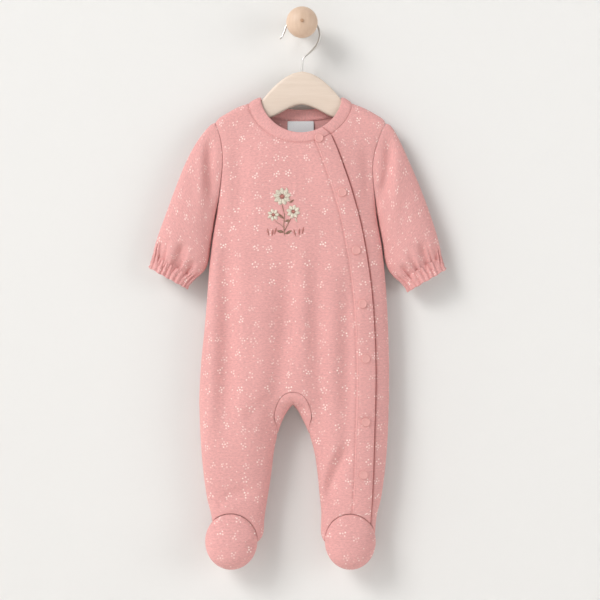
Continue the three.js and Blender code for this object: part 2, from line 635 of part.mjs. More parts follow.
// The facing along the closure lies on the upper panel's own points, moved out.
function placketBand() {
  const place = (x, z) => onUpper(x, z, PLACKET_GAP + PLACKET_WALL, PLACKET_WALL);
  const rows = panelRows({ ...placketPatch, place });
  return clothWall([clearOfFoot(rows, FOOT_RIGHT)], outwards);
}

// The gusset runs from the arch on the front, under the crotch, to the arch on the back.
function crotchGusset() {
  const half = ARCH_ROWS.length - 1;
  const across = [0, 0.3, 0.6, 0.85, 1];
  const column = (leg, down, k) => {
    const z = GUSSET.top - SEAM / 2 - down;
    const arch = { x: down === 0 ? GUSSET.x : archX(leg, z, -GUSSET.inset), z };
    const foldZ = mix(CROTCH_Z, GUSSET.tip - SEAM / 2, Math.pow(k / half, 1.5));
    const fold = { x: inseam[leg](foldZ), z: foldZ };
    const at = (side, w) => {
      const place = onBody(side, mix(arch.x, fold.x, w), mix(arch.z, fold.z, w));
      if (w === 1) place.p.y = place.q.y = middleY(fold.z);
      return place;
    };
    const front = across.map((w) => at("front", w));
    const back = across.slice(0, -1).reverse().map((w) => at("back", w));
    return [...front, ...back];
  };
  const left = ARCH_ROWS.map((down, k) => column("left", down, k)).reverse();
  const right = ARCH_ROWS.slice(1).map((down, k) => column("right", down, k + 1));
  return clothWall([[...left, ...right]], outwards);
}

// The binding: one strip from the closure round the back of the neck, its lower end running
// on beneath the upper one. Its columns are the panels' own.
function neckBinding() {
  const afterCorner = (columns, corner) =>
    columns.filter((g) => g >= corner).map((g) => (g - corner) / (1 - corner));
  const beforeCorner = (columns, corner) =>
    columns.filter((g) => g <= corner).map((g) => 1 - g / corner);
  const left = afterCorner(LEFT_COLUMNS, NECK_POINT.left);
  const right = beforeCorner(RIGHT_COLUMNS, NECK_POINT.right);
  const side = beforeCorner(SIDE_COLUMNS, NECK_POINT.side);
  const turns = [
    ...PLACKET_COLUMNS.map((g) => mix(closureAngle, placketAngle, g)),
    ...MIDDLE_COLUMNS.map((g) => mix(middleAngle, placketAngle, g)).reverse(),
    ...left.map((s) => neckAngle(180, middleAngle, s)).reverse(),
    ...left.map((s) => neckAngle(180, 360 - middleAngle, s)),
    ...right.map((s) => neckAngle(360, 360 - middleAngle, s)),
    ...side.map((s) => 360 + neckAngle(0, underlapAngle, s)).reverse(),
  ];
  const angles = turns.filter((angle, i) => i === 0 || angle - turns[i - 1] > 0.01);
  const slant = (angle) => BINDING_END_SLANT * (1 - smooth(closureAngle, closureAngle + 24, angle));
  const rows = [SEAM_SHARE, 0.3, 0.65, 1].map((v) =>
    angles.map((angle) => {
      const { x, z } = neckPoint(angle + slant(angle) * v, v);
      const behind = angle > 180 && angle < 360;
      const place =
        angle < 180
          ? onUpper(x, z, 0, BINDING_WALL)
          : onBody(behind ? "back" : "front", x, z, 0, BINDING_WALL);
      if (angle % 180 === 0) place.p.y = place.q.y = HANG_Y;
      return place;
    }),
  );
  return clothWall([rows], outwards);
}

// Heights at which the panels' rows meet an armhole, as shares of the armhole.
const armholeShares = (tipZ) => {
  const heights = [...YOKE_ROWS.map((v) => mix(tipZ, CHEST_Z, v)), BODY_ROWS[0], UNDERARM_Z];
  return heights.map((z) => (z - tipZ) / (UNDERARM_Z - tipZ));
};

// A sleeve's surface: t runs down the arm and, past 1, down its cuff; v runs from the outer
// edge to the underarm edge.
function sleeveSurface(table, edge, folds, end) {
  const last = table[table.length - 1];
  const columns = ["ox", "oz", "ix", "iz", "front", "back"];
  const of = Object.fromEntries(columns.map((name) => [name, through(table, "t", name)]));
  const at = (name, t) => (t <= 1 ? of[name](t) : mix(last[name], end[name], t - 1));
  const away = Math.sign(last.ox);
  return (side, v, t) => {
    const z0 = mix(table[0].oz, UNDERARM_Z, v);
    const x0 = edge(z0);
    const bow = 1 - smooth(0, 0.55, t);
    const x = mix(at("ox", t), at("ix", t), v) + bow * (x0 + away * SEAM - mix(table[0].ox, table[0].ix, v));
    const z = mix(at("oz", t), at("iz", t), v) + bow * (z0 - mix(table[0].oz, table[0].iz, v));
    const shape = rounded(v, 0, 1, 2.2);
    const full = of[side](Math.min(1, t)) * shape;
    const sewn = bodyDepth(side, x0, z0);
    const fold = foldDepth(folds, x, z) * smooth(0, 0.8, shape) * (side === "front" ? 1 : 0.6);
    const depth = Math.max(0, mix(sewn, full, smooth(0, 0.25, t)) - fold * smooth(0, 0.06, t));
    return new THREE.Vector3(x, HANG_Y + (side === "front" ? -depth : depth), z);
  };
}

// The outward direction of a sleeve's surface. At its two ends it lies in the end's plane.
function sleeveNormal(surface, side, v, t, flat) {
  const step = 0.004;
  const across = surface(side, Math.min(1, v + step), t).sub(surface(side, Math.max(0, v - step), t));
  const along = surface(side, v, Math.min(2, t + step)).sub(surface(side, v, Math.max(0, t - step)));
  const n = across.cross(along).normalize();
  if (v === 0 || v === 1) {
    const inwards = surface(side, 0.5, t).sub(surface(side, v, t));
    n.y = 0;
    if (n.dot(inwards) > 0) n.negate();
  } else if (n.y > 0 === (side === "front")) n.negate();
  if (flat) {
    const run = new THREE.Vector3(across.z, 0, -across.x).normalize();
    n.addScaledVector(run, -n.dot(run));
  }
  return n.normalize();
}

// Places round a sleeve: down its front and back up behind.
function sleeveRing(shares, at) {
  const front = shares.map((v) => at("front", v));
  const back = shares.slice(1, -1).reverse().map((v) => at("back", v));
  return [...front, ...back];
}

function sleeve(surface, tipZ) {
  const rows = SLEEVE_ROWS.map((t) =>
    sleeveRing(armholeShares(tipZ), (side, v) => {
      const p = surface(side, v, t);
      const n = sleeveNormal(surface, side, v, t, t === 0 || t === 1);
      return { p, q: p.clone().addScaledVector(n, -CLOTH) };
    }),
  );
  return clothWall([rows], outwards, true);
}

// The gathered cuff: a plain inside, and outside it waves that run along the arm.
function cuff(surface) {
  const half = (CUFF.waves * CUFF.points_per_wave) / 2;
  const shares = Array.from({ length: half + 1 }, (_, i) => (1 - Math.cos((Math.PI * i) / half)) / 2);
  const rows = CUFF.rows.map((t) => {
    let i = 0;
    return sleeveRing(shares, (side, v) => {
      const crest = Math.cos((2 * Math.PI * i) / CUFF.points_per_wave);
      i += 1;
      const base = surface(side, v, t);
      const n = sleeveNormal(surface, side, v, t, true);
      const p = base.clone().addScaledVector(n, CUFF.wave * crest);
      return { p, q: base.addScaledVector(n, -CUFF_WALL) };
    });
  });
  return clothWall([rows], outwards, true);
}

// A round cap over a boundary: points of the front view, each with the depth that it has there
// and, along a sewn edge, the direction that it shares with its neighbour.
function cap(side, centre, boundary, height) {
  const away = side === "front" ? -1 : 1;
  const power = 2.2;
  const rings = [0, 0.35, 0.62, 0.82, 0.94, 1];
  const rows = rings.map((r) =>
    boundary.map(({ x, z, depth, shared }) => {
      const rise = Math.pow(1 - Math.pow(r, power), 1 / power);
      const px = mix(centre.x, x, r);
      const pz = mix(centre.z, z, r);
      const out = mix(depth, height, rise);
      const p = new THREE.Vector3(px, middleY(pz) + away * (SEAM / 2 + out), pz);
      const run = new THREE.Vector3(x - centre.x, 0, z - centre.z);
      const steep = Math.min(20, Math.pow(r, power - 1) * Math.pow(Math.max(1e-6, rise), 1 - power));
      const slope = ((height - depth) * steep) / run.length();
      const facing = r === 1 && depth < 1 ? 0 : away;
      const n = run.normalize().multiplyScalar(facing === 0 ? 1 : slope).setY(facing).normalize();
      return { p, q: p.clone().addScaledVector(r === 1 && shared ? shared : n, -CLOTH) };
    }),
  );
  return clothWall([rows], () => new THREE.Vector3(0, away, 0), true);
}

// Angles along the free part of a foot's outline, between its corners, by way of the toe.
function toeAngles(from, to, count = 12) {
  const start = from < -90 ? from + 360 : from;
  return Array.from({ length: count - 1 }, (_, i) => mix(start, to, (i + 1) / count));
}

// The rounded upper of a foot, inside the seam round the front of the ankle. arc holds the
// angles of that seam.
function vamp(foot, arc, toe) {
  const point = footPoint(foot, -FOOT_SEAM);
  const seam = arc.map((angle, i) => {
    const { x, z } = point(angle);
    return { x, z, depth: i === 0 || i === arc.length - 1 ? 0 : bodyDepth("front", x, z) };
  });
  const free = toe.map((angle) => ({ ...point(angle), depth: 0 }));
  return cap("front", foot, [...seam, ...free], FOOT.upper);
}

// The sole, from the heel seam to the toe.
function sole(foot, heel, columns, toe) {
  const seam = columns.map((g) => {
    const { x, z } = heel(g);
    if (g === 0 || g === 1) return { x, z, depth: 0 };
    return { x, z, depth: bodyDepth("back", x, z), shared: bodyNormal("back", x, z) };
  });
  const free = toe.map((angle) => ({ ...footPoint(foot, -FOOT_SEAM)(angle), depth: 0 }));
  const centre = { x: foot.x, z: foot.z - FOOT.sole_centre };
  return cap("back", centre, [...seam, ...free], FOOT.sole);
}

// A snap's cap: a low disc with a raised rim and a dished middle, set on the facing.
function snapCap({ x, z }) {
  const { radius, height, dish, rim } = SNAP;
  const profile = [
    [0, 0],
    [radius - 0.5, 0],
    [radius, 0.5],
    [radius - 0.4, height],
    [radius - rim, height],
    [radius - rim - 0.6, dish],
    [0, dish],
  ];
  const shape = new THREE.LatheGeometry(profile.map(([r, h]) => new THREE.Vector2(r, h)), 12);
  const { p, n } = onUpper(x, z, PLACKET_GAP + PLACKET_WALL + SNAP.gap);
  const turn = new THREE.Quaternion().setFromUnitVectors(new THREE.Vector3(0, 1, 0), n);
  return shape.applyQuaternion(turn).translate(p.x, p.y, p.z);
}

// The label hangs flat inside the back of the neck.
function neckLabel() {
  const { x, width, top, length, thickness, gap } = LABEL;
  const inside = (z) => HANG_Y + SEAM / 2 + bodyDepth("back", x, z) - BINDING_WALL - gap;
  const y = Math.min(inside(top), inside(top - length)) - thickness / 2;
  return new THREE.BoxGeometry(width, thickness, length).translate(x, y, top - length / 2);
}

// The hanger: its outline is mirrored about the hook and given rounded edges.
function hangerBody() {
  const { half, bevel, clearance, arms, reach, arch } = HANGER;
  const shoulders = arms.map((x) => ({ x, z: Math.min(ridge(x), ridge(-x)) - clearance }));
  const end = { x: reach, z: shoulders[shoulders.length - 1].z - 9 };
  const side = [...HANGER_TOP, ...shoulders, end, ...HANGER_UNDER, { x: 0, z: arch }];
  const other = side.slice(1, -1).reverse().map(({ x, z }) => ({ x: -x, z }));
  const outlinePoints = [...side, ...other, side[0]].map(({ x, z }) => new THREE.Vector2(x, z));
  const shape = new THREE.Shape(new THREE.SplineCurve(outlinePoints).getPoints(64).slice(0, -1));
  const body = new THREE.ExtrudeGeometry(shape, {
    depth: 2 * (half - bevel),
    bevelThickness: bevel,
    bevelSize: bevel,
    bevelOffset: -bevel,
    bevelSegments: 2,
  });
  return body.rotateX(Math.PI / 2).translate(0, HANG_Y + half - bevel, 0);
}

// The hook: a wire that turns over the peg and comes down to the hanger's top.
function hookWire() {
  const { wire, sides, steps, radius, from, to, turns } = HOOK;
  const arc = Array.from({ length: turns }, (_, i) => {
    const angle = mix(from, to, (i + 1) / turns) * degrees;
    return { x: radius * Math.cos(angle), z: HOOK.z + radius * Math.sin(angle) };
  });
  const foot = { x: 0.2, z: HANGER_TOP[0].z + SEAM };
  const points = [...HOOK_TIP, ...arc, ...HOOK_STEM, foot];
  const path = new THREE.CatmullRomCurve3(points.map(({ x, z }) => new THREE.Vector3(x, HANG_Y, z)));
  const ring = Array.from({ length: sides }, (_, i) => {
    const angle = (2 * Math.PI * i) / sides;
    return new THREE.Vector2(wire * Math.cos(angle), wire * Math.sin(angle));
  });
  return new THREE.ExtrudeGeometry(new THREE.Shape(ring), { extrudePath: path, steps });
}

// A solid turned about the Y axis, from rows of radius and distance out from the wall.
function turnedPiece(profile, sides) {
  const points = profile.map(([radius, out]) => new THREE.Vector2(radius, out));
  return new THREE.LatheGeometry(points, sides).rotateX(Math.PI);
}

// The peg, turned in one piece: a foot on the wall, a neck that carries the hook, and a ball.
function wallPeg() {
  const { foot, neck, ball, ball_y, ball_half, sides } = PEG;
  const rounds = 8;
  const start = Math.asin((neck + 1.2) / ball);
  const head = Array.from({ length: rounds }, (_, i) => {
    const angle = mix(start, Math.PI, i / rounds);
    return [ball * Math.sin(angle), -ball_y - ball_half * Math.cos(angle)];
  });
  const back = -ball_y - ball_half * Math.cos(start) - 0.6;
  const stem = [[0, 0], [foot, 0], [foot, 3.5], [neck, 5.5], [neck, back]];
  return turnedPiece([...stem, ...head, [0, -ball_y + ball_half]], sides);
}

// The plug that closes the peg's screw hole.
function pegPlug() {
  const { ball_y, ball_half, plug } = PEG;
  const front = -ball_y + ball_half + 0.35;
  const profile = [[0, 0], [plug, 0], [plug, 0.6], [plug - 0.4, 0.9], [0, 0.9]];
  return turnedPiece(profile.map(([radius, out]) => [radius, front + out]), 16);
}

const finish = (color, roughness, metalness = 0) =>
  new THREE.MeshStandardMaterial({ color, roughness, metalness });
const jersey = finish("#e9aeaa", 0.92);
const snapPink = finish("#efbdb6", 0.35);

const leftSleeve = sleeveSurface(SLEEVE_LEFT, outline.left, SLEEVE_LEFT_FOLDS, CUFF_LEFT_END);
const rightSleeve = sleeveSurface(SLEEVE_RIGHT, outline.right, SLEEVE_RIGHT_FOLDS, CUFF_RIGHT_END);

const leftArc = LEFT_COLUMNS.map((g) => mix(FOOT_LEFT.outer, FOOT_LEFT.inner, g));
const sideArc = SIDE_COLUMNS.map((g) => mix(underlapFoot, FOOT_RIGHT.outer, g));
const rightArc = [
  ...MIDDLE_COLUMNS.map((g) => mix(FOOT_RIGHT.inner, placketFoot, g)),
  ...PLACKET_COLUMNS.slice(1).map((g) => mix(placketFoot, closureFoot, g)),
  ...sideArc.filter((angle) => angle < closureFoot - 1),
];
const leftToe = toeAngles(FOOT_LEFT.inner, FOOT_LEFT.outer - 360);
const rightToe = toeAngles(FOOT_RIGHT.outer, FOOT_RIGHT.inner - 360);
const leftHeel = heelEdge(FOOT_LEFT, FOOT_LEFT.outer, FOOT_LEFT.inner, -SEAM / 2);
const rightHeel = heelEdge(FOOT_RIGHT, FOOT_RIGHT.inner, FOOT_RIGHT.outer, -SEAM / 2);

const pieces = [
  ["front_panel", frontPanel(), jersey],
  ...Object.entries({ ...sidePanel(), ...backPanel() }).map(([name, wall]) => [name, wall, jersey]),
  ["placket_band", placketBand(), jersey],
  ["crotch_gusset", crotchGusset(), jersey],
  ["neck_binding", neckBinding(), jersey],
  ["sleeve_left", sleeve(leftSleeve, SLEEVE_LEFT[0].oz), jersey],
  ["sleeve_right", sleeve(rightSleeve, SLEEVE_RIGHT[0].oz), jersey],
  ["cuff_left", cuff(leftSleeve), jersey],
  ["cuff_right", cuff(rightSleeve), jersey],
  ["vamp_left", vamp(FOOT_LEFT, leftArc, leftToe), jersey],
  ["vamp_right", vamp(FOOT_RIGHT, rightArc, rightToe), jersey],
  ["sole_left", sole(FOOT_LEFT, leftHeel, LEFT_COLUMNS, leftToe), jersey],
  ["sole_right", sole(FOOT_RIGHT, rightHeel, RIGHT_COLUMNS, rightToe), jersey],
  ["neck_label", neckLabel(), finish("#dcd9d6", 0.7)],
  ["hanger_body", hangerBody(), finish("#e7d6c6", 0.55)],
  ["hook_wire", hookWire(), finish("#b9b4ae", 0.3, 1)],
  ["wall_peg", wallPeg(), finish("#d8bca6", 0.6)],
  ["peg_plug", pegPlug(), finish("#c9a98f", 0.6)],
  ...SNAPS.map((snap, i) => [`snap_${i + 1}`, snapCap(snap), snapPink]),
];

const sleepsuit = new THREE.Group();
for (const [name, geometry, material] of pieces) {
  const mesh = new THREE.Mesh(geometry, material.clone());
  mesh.name = name;
  sleepsuit.add(mesh);
}

export default sleepsuit;
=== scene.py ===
# %% [markdown]
# # A footed baby sleepsuit on its hanger
# The suit is soft cotton interlock, cut as flat panels and sewn into a body with sleeves and
# feet. It hangs from a small wooden hanger, whose wire hook lies over a round wall peg.
# The measured frame already holds every solid at its true size. This lesson dresses it: each
# piece of cloth is made again as a fine surface with its seams, folds, stitches and print,
# and the wood, the wire and the snaps get their real finish.

import bmesh
import bpy
import numpy as np
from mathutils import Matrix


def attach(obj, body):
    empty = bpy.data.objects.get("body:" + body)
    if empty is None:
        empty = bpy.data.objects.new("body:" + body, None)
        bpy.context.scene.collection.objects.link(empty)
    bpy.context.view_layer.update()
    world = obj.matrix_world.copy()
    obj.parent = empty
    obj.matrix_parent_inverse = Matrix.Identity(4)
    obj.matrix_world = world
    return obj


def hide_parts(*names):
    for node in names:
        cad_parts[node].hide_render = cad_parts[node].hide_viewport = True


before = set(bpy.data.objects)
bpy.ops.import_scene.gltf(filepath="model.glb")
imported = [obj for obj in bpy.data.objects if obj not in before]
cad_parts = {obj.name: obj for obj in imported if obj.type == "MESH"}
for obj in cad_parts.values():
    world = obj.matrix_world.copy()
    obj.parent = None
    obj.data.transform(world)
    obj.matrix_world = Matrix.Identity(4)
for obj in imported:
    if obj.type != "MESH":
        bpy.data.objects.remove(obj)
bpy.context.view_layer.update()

# %% [markdown]
# ## Small helpers
# All sizes are in millimetres, as on a paper pattern, and become metres when a mesh is made.
# Every helper works on whole numpy arrays, so one call bends a whole panel.

# %% Number helpers
MM = 0.001
HANG_Y = -20.0
LIFT = 1.9
FOLD_GAIN = 1.6


def mix(a, b, t):
    """a where t is 0, b where t is 1, and a straight blend between."""
    return a + (b - a) * t


def smooth(a, b, value):
    """0 before a and 1 after b, with a soft S between: t squared times (3 - 2t)."""
    t = np.clip((value - a) / (b - a), 0, 1)
    return t * t * (3 - 2 * t)


def unit(v):
    """Each vector divided by its length."""
    return v / np.maximum(np.linalg.norm(v, axis=-1, keepdims=True), 1e-9)


def table(columns, *rows):
    """Named columns and their rows, as one array a column."""
    return dict(zip(columns.split(), np.array(rows, float).T))


def through(rows, key, name):
    """A smooth curve through a table: cubic pieces whose slopes come from neighbouring rows."""
    at, value = rows[key], rows[name]
    way = np.sign(at[1] - at[0])
    order = np.arange(len(at))
    before, after = np.maximum(order - 1, 0), np.minimum(order + 1, len(at) - 1)
    slope = (value[after] - value[before]) / (at[after] - at[before])

    def curve(where):
        where = np.asarray(where, float)
        i = np.clip(np.searchsorted(way * at, way * where) - 1, 0, len(at) - 2)
        span = at[i + 1] - at[i]
        t = np.clip((where - at[i]) / span, 0, 1)
        bend = t * (1 - t) ** 2 * slope[i] + t * t * (t - 1) * slope[i + 1]
        return mix(value[i], value[i + 1], t * t * (3 - 2 * t)) + span * bend

    return curve


# %% [markdown]
# ## The garment's measures
# These short tables are the same ones that the measured solids were drawn from: outlines at
# a few heights, the line of the shoulders, the slanting closure, and the folds. A maker
# would read them off the flat garment with a ruler.

# %% Outlines, closure and folds
BODY = table(
    "z left right front back widen",
    (-100, -110, 106, 21, 12, 0.06),
    (-124, -110, 106, 21, 12, 0.06),
    (-134, -106.2, 101.5, 21, 12, 0.065),
    (-147, -102.7, 96.5, 22, 12, 0.07),
    (-164, -100.7, 91.5, 22, 13, 0.07),
    (-181, -100.7, 89.4, 22, 13, 0.07),
    (-203, -102.9, 90.5, 23, 13, 0.05),
    (-222, -105.4, 92.8, 23, 13, 0.02),
    (-239, -108.8, 95, 24, 14, 0),
    (-256, -111.6, 97.6, 24, 14, 0),
    (-280, -115, 101.8, 25, 14, 0),
    (-307, -118, 104.7, 25, 15, 0),
    (-340, -120.5, 107.5, 26, 15, 0),
    (-382, -123.8, 109.8, 27, 15, 0),
    (-430, -128.6, 111, 27, 15, 0),
    (-475, -130.6, 110.8, 26, 15, 0),
    (-520, -129.4, 109.4, 24, 14, 0),
    (-560, -126.4, 106.4, 22, 14, 0),
    (-600, -121, 101, 20, 13, 0),
    (-618, -116.4, 96.4, 19, 13, 0),
    (-630, -114.6, 94.4, 18, 13, 0),
    (-646, -114.6, 93.2, 17, 12, 0),
    (-660, -114.6, 93.2, 16, 12, 0),
)
INSEAMS = table(
    "z left right",
    (-482.6, -11.4, -11.4),
    (-490, -17.6, -5.6),
    (-499, -22.8, -0.6),
    (-516, -29.8, 7.8),
    (-540, -35.2, 15.2),
    (-569, -38.8, 19.6),
    (-598, -43.2, 22.4),
    (-615, -46, 24.3),
    (-628, -47.8, 24.4),
    (-640, -48.3, 24),
    (-648, -49.6, 24.6),
    (-655.6, -55.9, 28.4),
)
RIDGE = table(
    "x z",
    (-112, -125.5),
    (-105, -118),
    (-98, -113.6),
    (-82, -104.6),
    (-67.5, -99),
    (-52.7, -91.3),
    (-38, -82.5),
    (0, -68),
    (38, -82.5),
    (50.9, -91.3),
    (63.5, -99),
    (80, -106),
    (97, -115.4),
    (104, -120.5),
    (108, -127.5),
)
CLOSURE = table(
    "z x",
    (-128, 29),
    (-139.8, 35.6),
    (-160, 44.5),
    (-183, 52.9),
    (-209, 61.8),
    (-249, 72.8),
    (-278, 78.6),
    (-306, 83.3),
    (-338, 87.4),
    (-383, 90.7),
    (-446, 92.4),
    (-510, 90.9),
    (-593, 88.3),
    (-634, 85.6),
)
FOLD_COLUMNS = "ax az bx bz bow width depth"
FOLDS = {
    "front": table(
        FOLD_COLUMNS,
        (-96, -240, -98, -520, 4, 12, 4.2),
        (-113, -250, -116, -520, 2, 8, -2.0),
        (-75, -290, -76, -560, 2, 14, -1.6),
        (-19, -300, -42, -520, 7, 12, 3.2),
        (-50, -300, -62, -560, 3, 12, -1.4),
        (17, -290, 24, -560, 0, 11, 2.6),
        (2, -280, 2, -440, 0, 10, -1.3),
        (37, -300, 38, -560, 0, 10, -1.4),
        (60, -300, 58, -545, -2, 10, 2.8),
        (59, -528, 29, -608, -3, 8, 4.2),
        (45, -530, 21, -590, -2, 8, -1.6),
        (-82, -142, -80, -262, 2, 12, 2.8),
        (78, -150, 82, -235, 3, 8, 1.8),
        (-60, -590, -104, -604, -4, 8, 2.0),
        (-118, -592, -100, -612, 2, 4, 1.6),
        (-40, -470, -70, -505, -3, 9, 1.8),
        (22, -468, 46, -500, 3, 9, 1.6),
    ),
    "back": table(
        FOLD_COLUMNS,
        (-60, -170, -72, -520, 4, 13, 2.2),
        (-8, -190, -12, -430, -5, 14, 2.4),
        (46, -170, 58, -540, -4, 13, 2.2),
        (-95, -330, -92, -600, 3, 11, 1.6),
        (84, -330, 80, -600, -3, 11, 1.6),
    ),
}
ridge = through(RIDGE, "x", "z")
closure = through(CLOSURE, "z", "x")
outline = {side: through(BODY, "z", side) for side in ("left", "right")}
greatest = {side: through(BODY, "z", side) for side in ("front", "back")}
widened = through(BODY, "z", "widen")
inseam = {leg: through(INSEAMS, "z", leg) for leg in ("left", "right")}
CROTCH_X, CROTCH_Z = -11.4, -482.6
print("hips:", float(outline["right"](-450) - outline["left"](-450)), "mm wide")

# %% [markdown]
# ## How far the cloth stands out
# The hanging suit is a flattened tube. Seen from above, its section is a rounded box at the
# shoulders, softer at the waist, and it parts into two round legs. One function gives the
# depth of the front or the back at any point of the front view, and every panel, stitch
# and snap is placed with it, so they all lie on the same cloth.

# %% Depth of the cloth
def rounded(x, lo, hi, power, widen=0.0):
    """A superellipse: 1 in the middle, 0 at lo and hi, squarer as power grows."""
    half = (hi - lo) / 2 * (1 + widen)
    t = np.clip(np.abs((x - (lo + hi) / 2) / half), 0, 1)
    return (1 - t**power) ** (1 / power)


def quarter(u):
    """A quarter circle that rises from 0 to 1 over the first unit."""
    return np.sqrt(1 - (1 - np.clip(u, 0, 1)) ** 2)


def fold_depth(folds, x, z):
    """Sum of folds: a bell curve across a bowed line from a to b, faded out at both ends."""
    total = np.zeros(np.broadcast(x, z).shape)
    for ax, az, bx, bz, bow, width, depth in zip(*folds.values()):
        dx, dz = bx - ax, bz - az
        length = np.hypot(dx, dz)
        share = ((x - ax) * dx + (z - az) * dz) / length**2
        side = ((z - az) * dx - (x - ax) * dz) / length
        off = (side - bow * 4 * share * (1 - share)) / width
        ends = smooth(-0.12, 0.3, share) * (1 - smooth(0.7, 1.12, share))
        total = total + FOLD_GAIN * depth * ends * np.exp(-(off**2))
    return total


def body_depth(side, x, z):
    """Quarter-circle roll over the hanger, then the section's depth, less the folds."""
    below = ridge(x) - z
    left, right, widen = outline["left"](z), outline["right"](z), widened(z)
    hang = smooth(0, 90, below)
    torso = mix(rounded(x, left, right, 6, widen), rounded(x, left, right, 2.6, widen), hang)
    above = np.clip((z - CROTCH_Z) / 36, 0, 1)
    split = np.minimum(z, CROTCH_Z)
    left_leg = rounded(x, left, inseam["left"](split), 2.3, 0.3 * above)
    right_leg = rounded(x, inseam["right"](split), right, 2.3, 0.3 * above)
    shape = mix(np.where(x < CROTCH_X, left_leg, right_leg), torso, quarter(above))
    height = 9 * quarter(below / 9) + (greatest[side](z) - 9) * hang
    folds = fold_depth(FOLDS[side], x, z)
    return np.maximum(0, height * shape - folds * smooth(0, 0.85, shape) * smooth(0, 60, below))


def body_normal(side, x, z):
    """Outward direction, from the slope of the depth across and down."""
    step = 0.5
    depth = body_depth(side, x, z)
    across = body_depth(side, x + step, z) - body_depth(side, x - step, z)
    down = body_depth(side, x, z + step) - body_depth(side, x, z - step)
    facing = np.minimum(1, depth / 3) * (-1 if side == "front" else 1)
    return unit(np.stack([-across, facing, -down], -1))


def middle_y(z):
    """The plane between front and back, which leans out below the ankle with the feet."""
    return HANG_Y - 9 * smooth(-618, -690, z)


def on_body(side, x, z, raised=0.0):
    """Points of the cloth's outside, moved out by raised, with their outward directions."""
    x, z = np.broadcast_arrays(np.asarray(x, float), np.asarray(z, float))
    away = -1 if side == "front" else 1
    y = middle_y(z) + away * (0.2 + body_depth(side, x, z))
    normal = body_normal(side, x, z)
    raised = np.broadcast_to(raised, x.shape)[..., None]
    return np.stack([x, y, z], -1) + normal * raised, normal


def on_upper(x, z, raised=0.0):
    """The same on the upper front panel, which lifts where it crosses the panel below."""
    points, normal = on_body("front", x, z, raised)
    lift = LIFT * (1 - smooth(24, 54, closure(z) - x))
    return points - np.stack([0 * lift, lift, 0 * lift], -1), normal


print("chest stands out:", round(float(body_depth("front", 0.0, -300.0)), 1), "mm")

# %% [markdown]
# ## From a grid to a cloth mesh
# A panel is a grid of points, and cloth is a thin wall on it. Blender's Solidify gives the
# wall and one level of Subdivision rounds its edges, as a folded edge is round. At a seam
# each panel's edge is turned in, which leaves the fine dark line that a real seam shows.
# The grid also carries a UV map in millimetres of the flat cut, and the print follows it.

# %% Grids, edges and meshes
def grid_faces(rows, columns, around):
    """Quads between neighbouring rows and columns, closed round the columns if around."""
    across = np.arange(columns if around else columns - 1)
    down = np.arange(rows - 1)[:, None] * columns
    right = (across + 1) % columns
    quads = [down + across, down + columns + across, down + columns + right, down + right]
    return np.stack(quads, -1).reshape(-1, 4)


def grid_normals(points, outward):
    """Cross product of the grid's two directions, turned to the side that outward shows."""
    normal = np.cross(np.gradient(points, axis=0), np.gradient(points, axis=1))
    side = np.sign(np.sum(normal * outward, -1, keepdims=True))
    return unit(normal * np.where(side == 0, 1, side))


def cut_map(points, column, heights=None):
    """Flat coordinates: lengths along each row from one column, and heights down that column."""
    steps = np.linalg.norm(np.diff(points, axis=1), axis=-1)
    run = np.concatenate([np.zeros((len(points), 1)), np.cumsum(steps, axis=1)], axis=1)
    across = run - run[:, [column]]
    if heights is None:
        drop = np.linalg.norm(np.diff(points[:, column], axis=0), axis=-1)
        heights = -np.concatenate([[0], np.cumsum(drop)])[:, None]
    return np.stack([across, np.broadcast_to(heights, across.shape)], -1)


def turn_in(patch, lo=False, hi=False, top=False, bottom=False, depths=(0.9, 2.8)):
    """Extra rows past an edge, each moved against the outward direction: a seam allowance."""
    points, normal, flat = patch

    def grow(array, edge, axis, steps):
        return np.concatenate(steps + [array] if edge == 0 else [array] + steps, axis=axis)

    for wanted, axis, edge in ((lo, 1, 0), (hi, 1, -1), (top, 0, 0), (bottom, 0, -1)):
        if not wanted:
            continue
        order = depths[::-1] if edge == 0 else depths
        at = [np.take(a, [edge], axis=axis) for a in (points, normal, flat)]
        points = grow(points, edge, axis, [at[0] - at[1] * d for d in order])
        normal = grow(normal, edge, axis, [at[1]] * len(order))
        flat = grow(flat, edge, axis, [at[2]] * len(order))
    return points, normal, flat


def join_patches(name, patches, around=False):
    """One mesh from several grids: faces turned outwards, and points that coincide welded."""
    points, flats, faces, count = [], [], [], 0
    for grid, normal, flat in patches:
        rows, columns = grid.shape[:2]
        quads = grid_faces(rows, columns, around)
        corner = grid.reshape(-1, 3)[quads]
        facing = np.cross(corner[:, 2] - corner[:, 0], corner[:, 3] - corner[:, 1])
        outward = normal.reshape(-1, 3)[quads].sum(axis=1)
        if np.sum(facing * outward) < 0:
            quads = quads[:, ::-1]
        points.append(grid.reshape(-1, 3))
        flats.append(flat.reshape(-1, 2))
        faces.append(quads + count)
        count += rows * columns
    points, flats, faces = (np.concatenate(a) for a in (points, flats, faces))
    mesh = bpy.data.meshes.new(name)
    mesh.from_pydata((points * MM).tolist(), [], faces.tolist())
    layer = mesh.uv_layers.new(name="cut")
    layer.data.foreach_set("uv", (flats[faces.ravel()] * MM).ravel())
    work = bmesh.new()
    work.from_mesh(mesh)
    bmesh.ops.remove_doubles(work, verts=work.verts, dist=2e-6)
    work.to_mesh(mesh)
    work.free()
    mesh.shade_smooth()
    return mesh


def place(mesh, material, nodes=()):
    """Put a mesh in the scene, give it its material, and let it stand for its solids."""
    piece = bpy.data.objects.new(mesh.name, mesh)
    bpy.context.collection.objects.link(piece)
    mesh.materials.append(material)
    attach(piece, "root")
    if nodes:
        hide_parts(*nodes)
    return piece


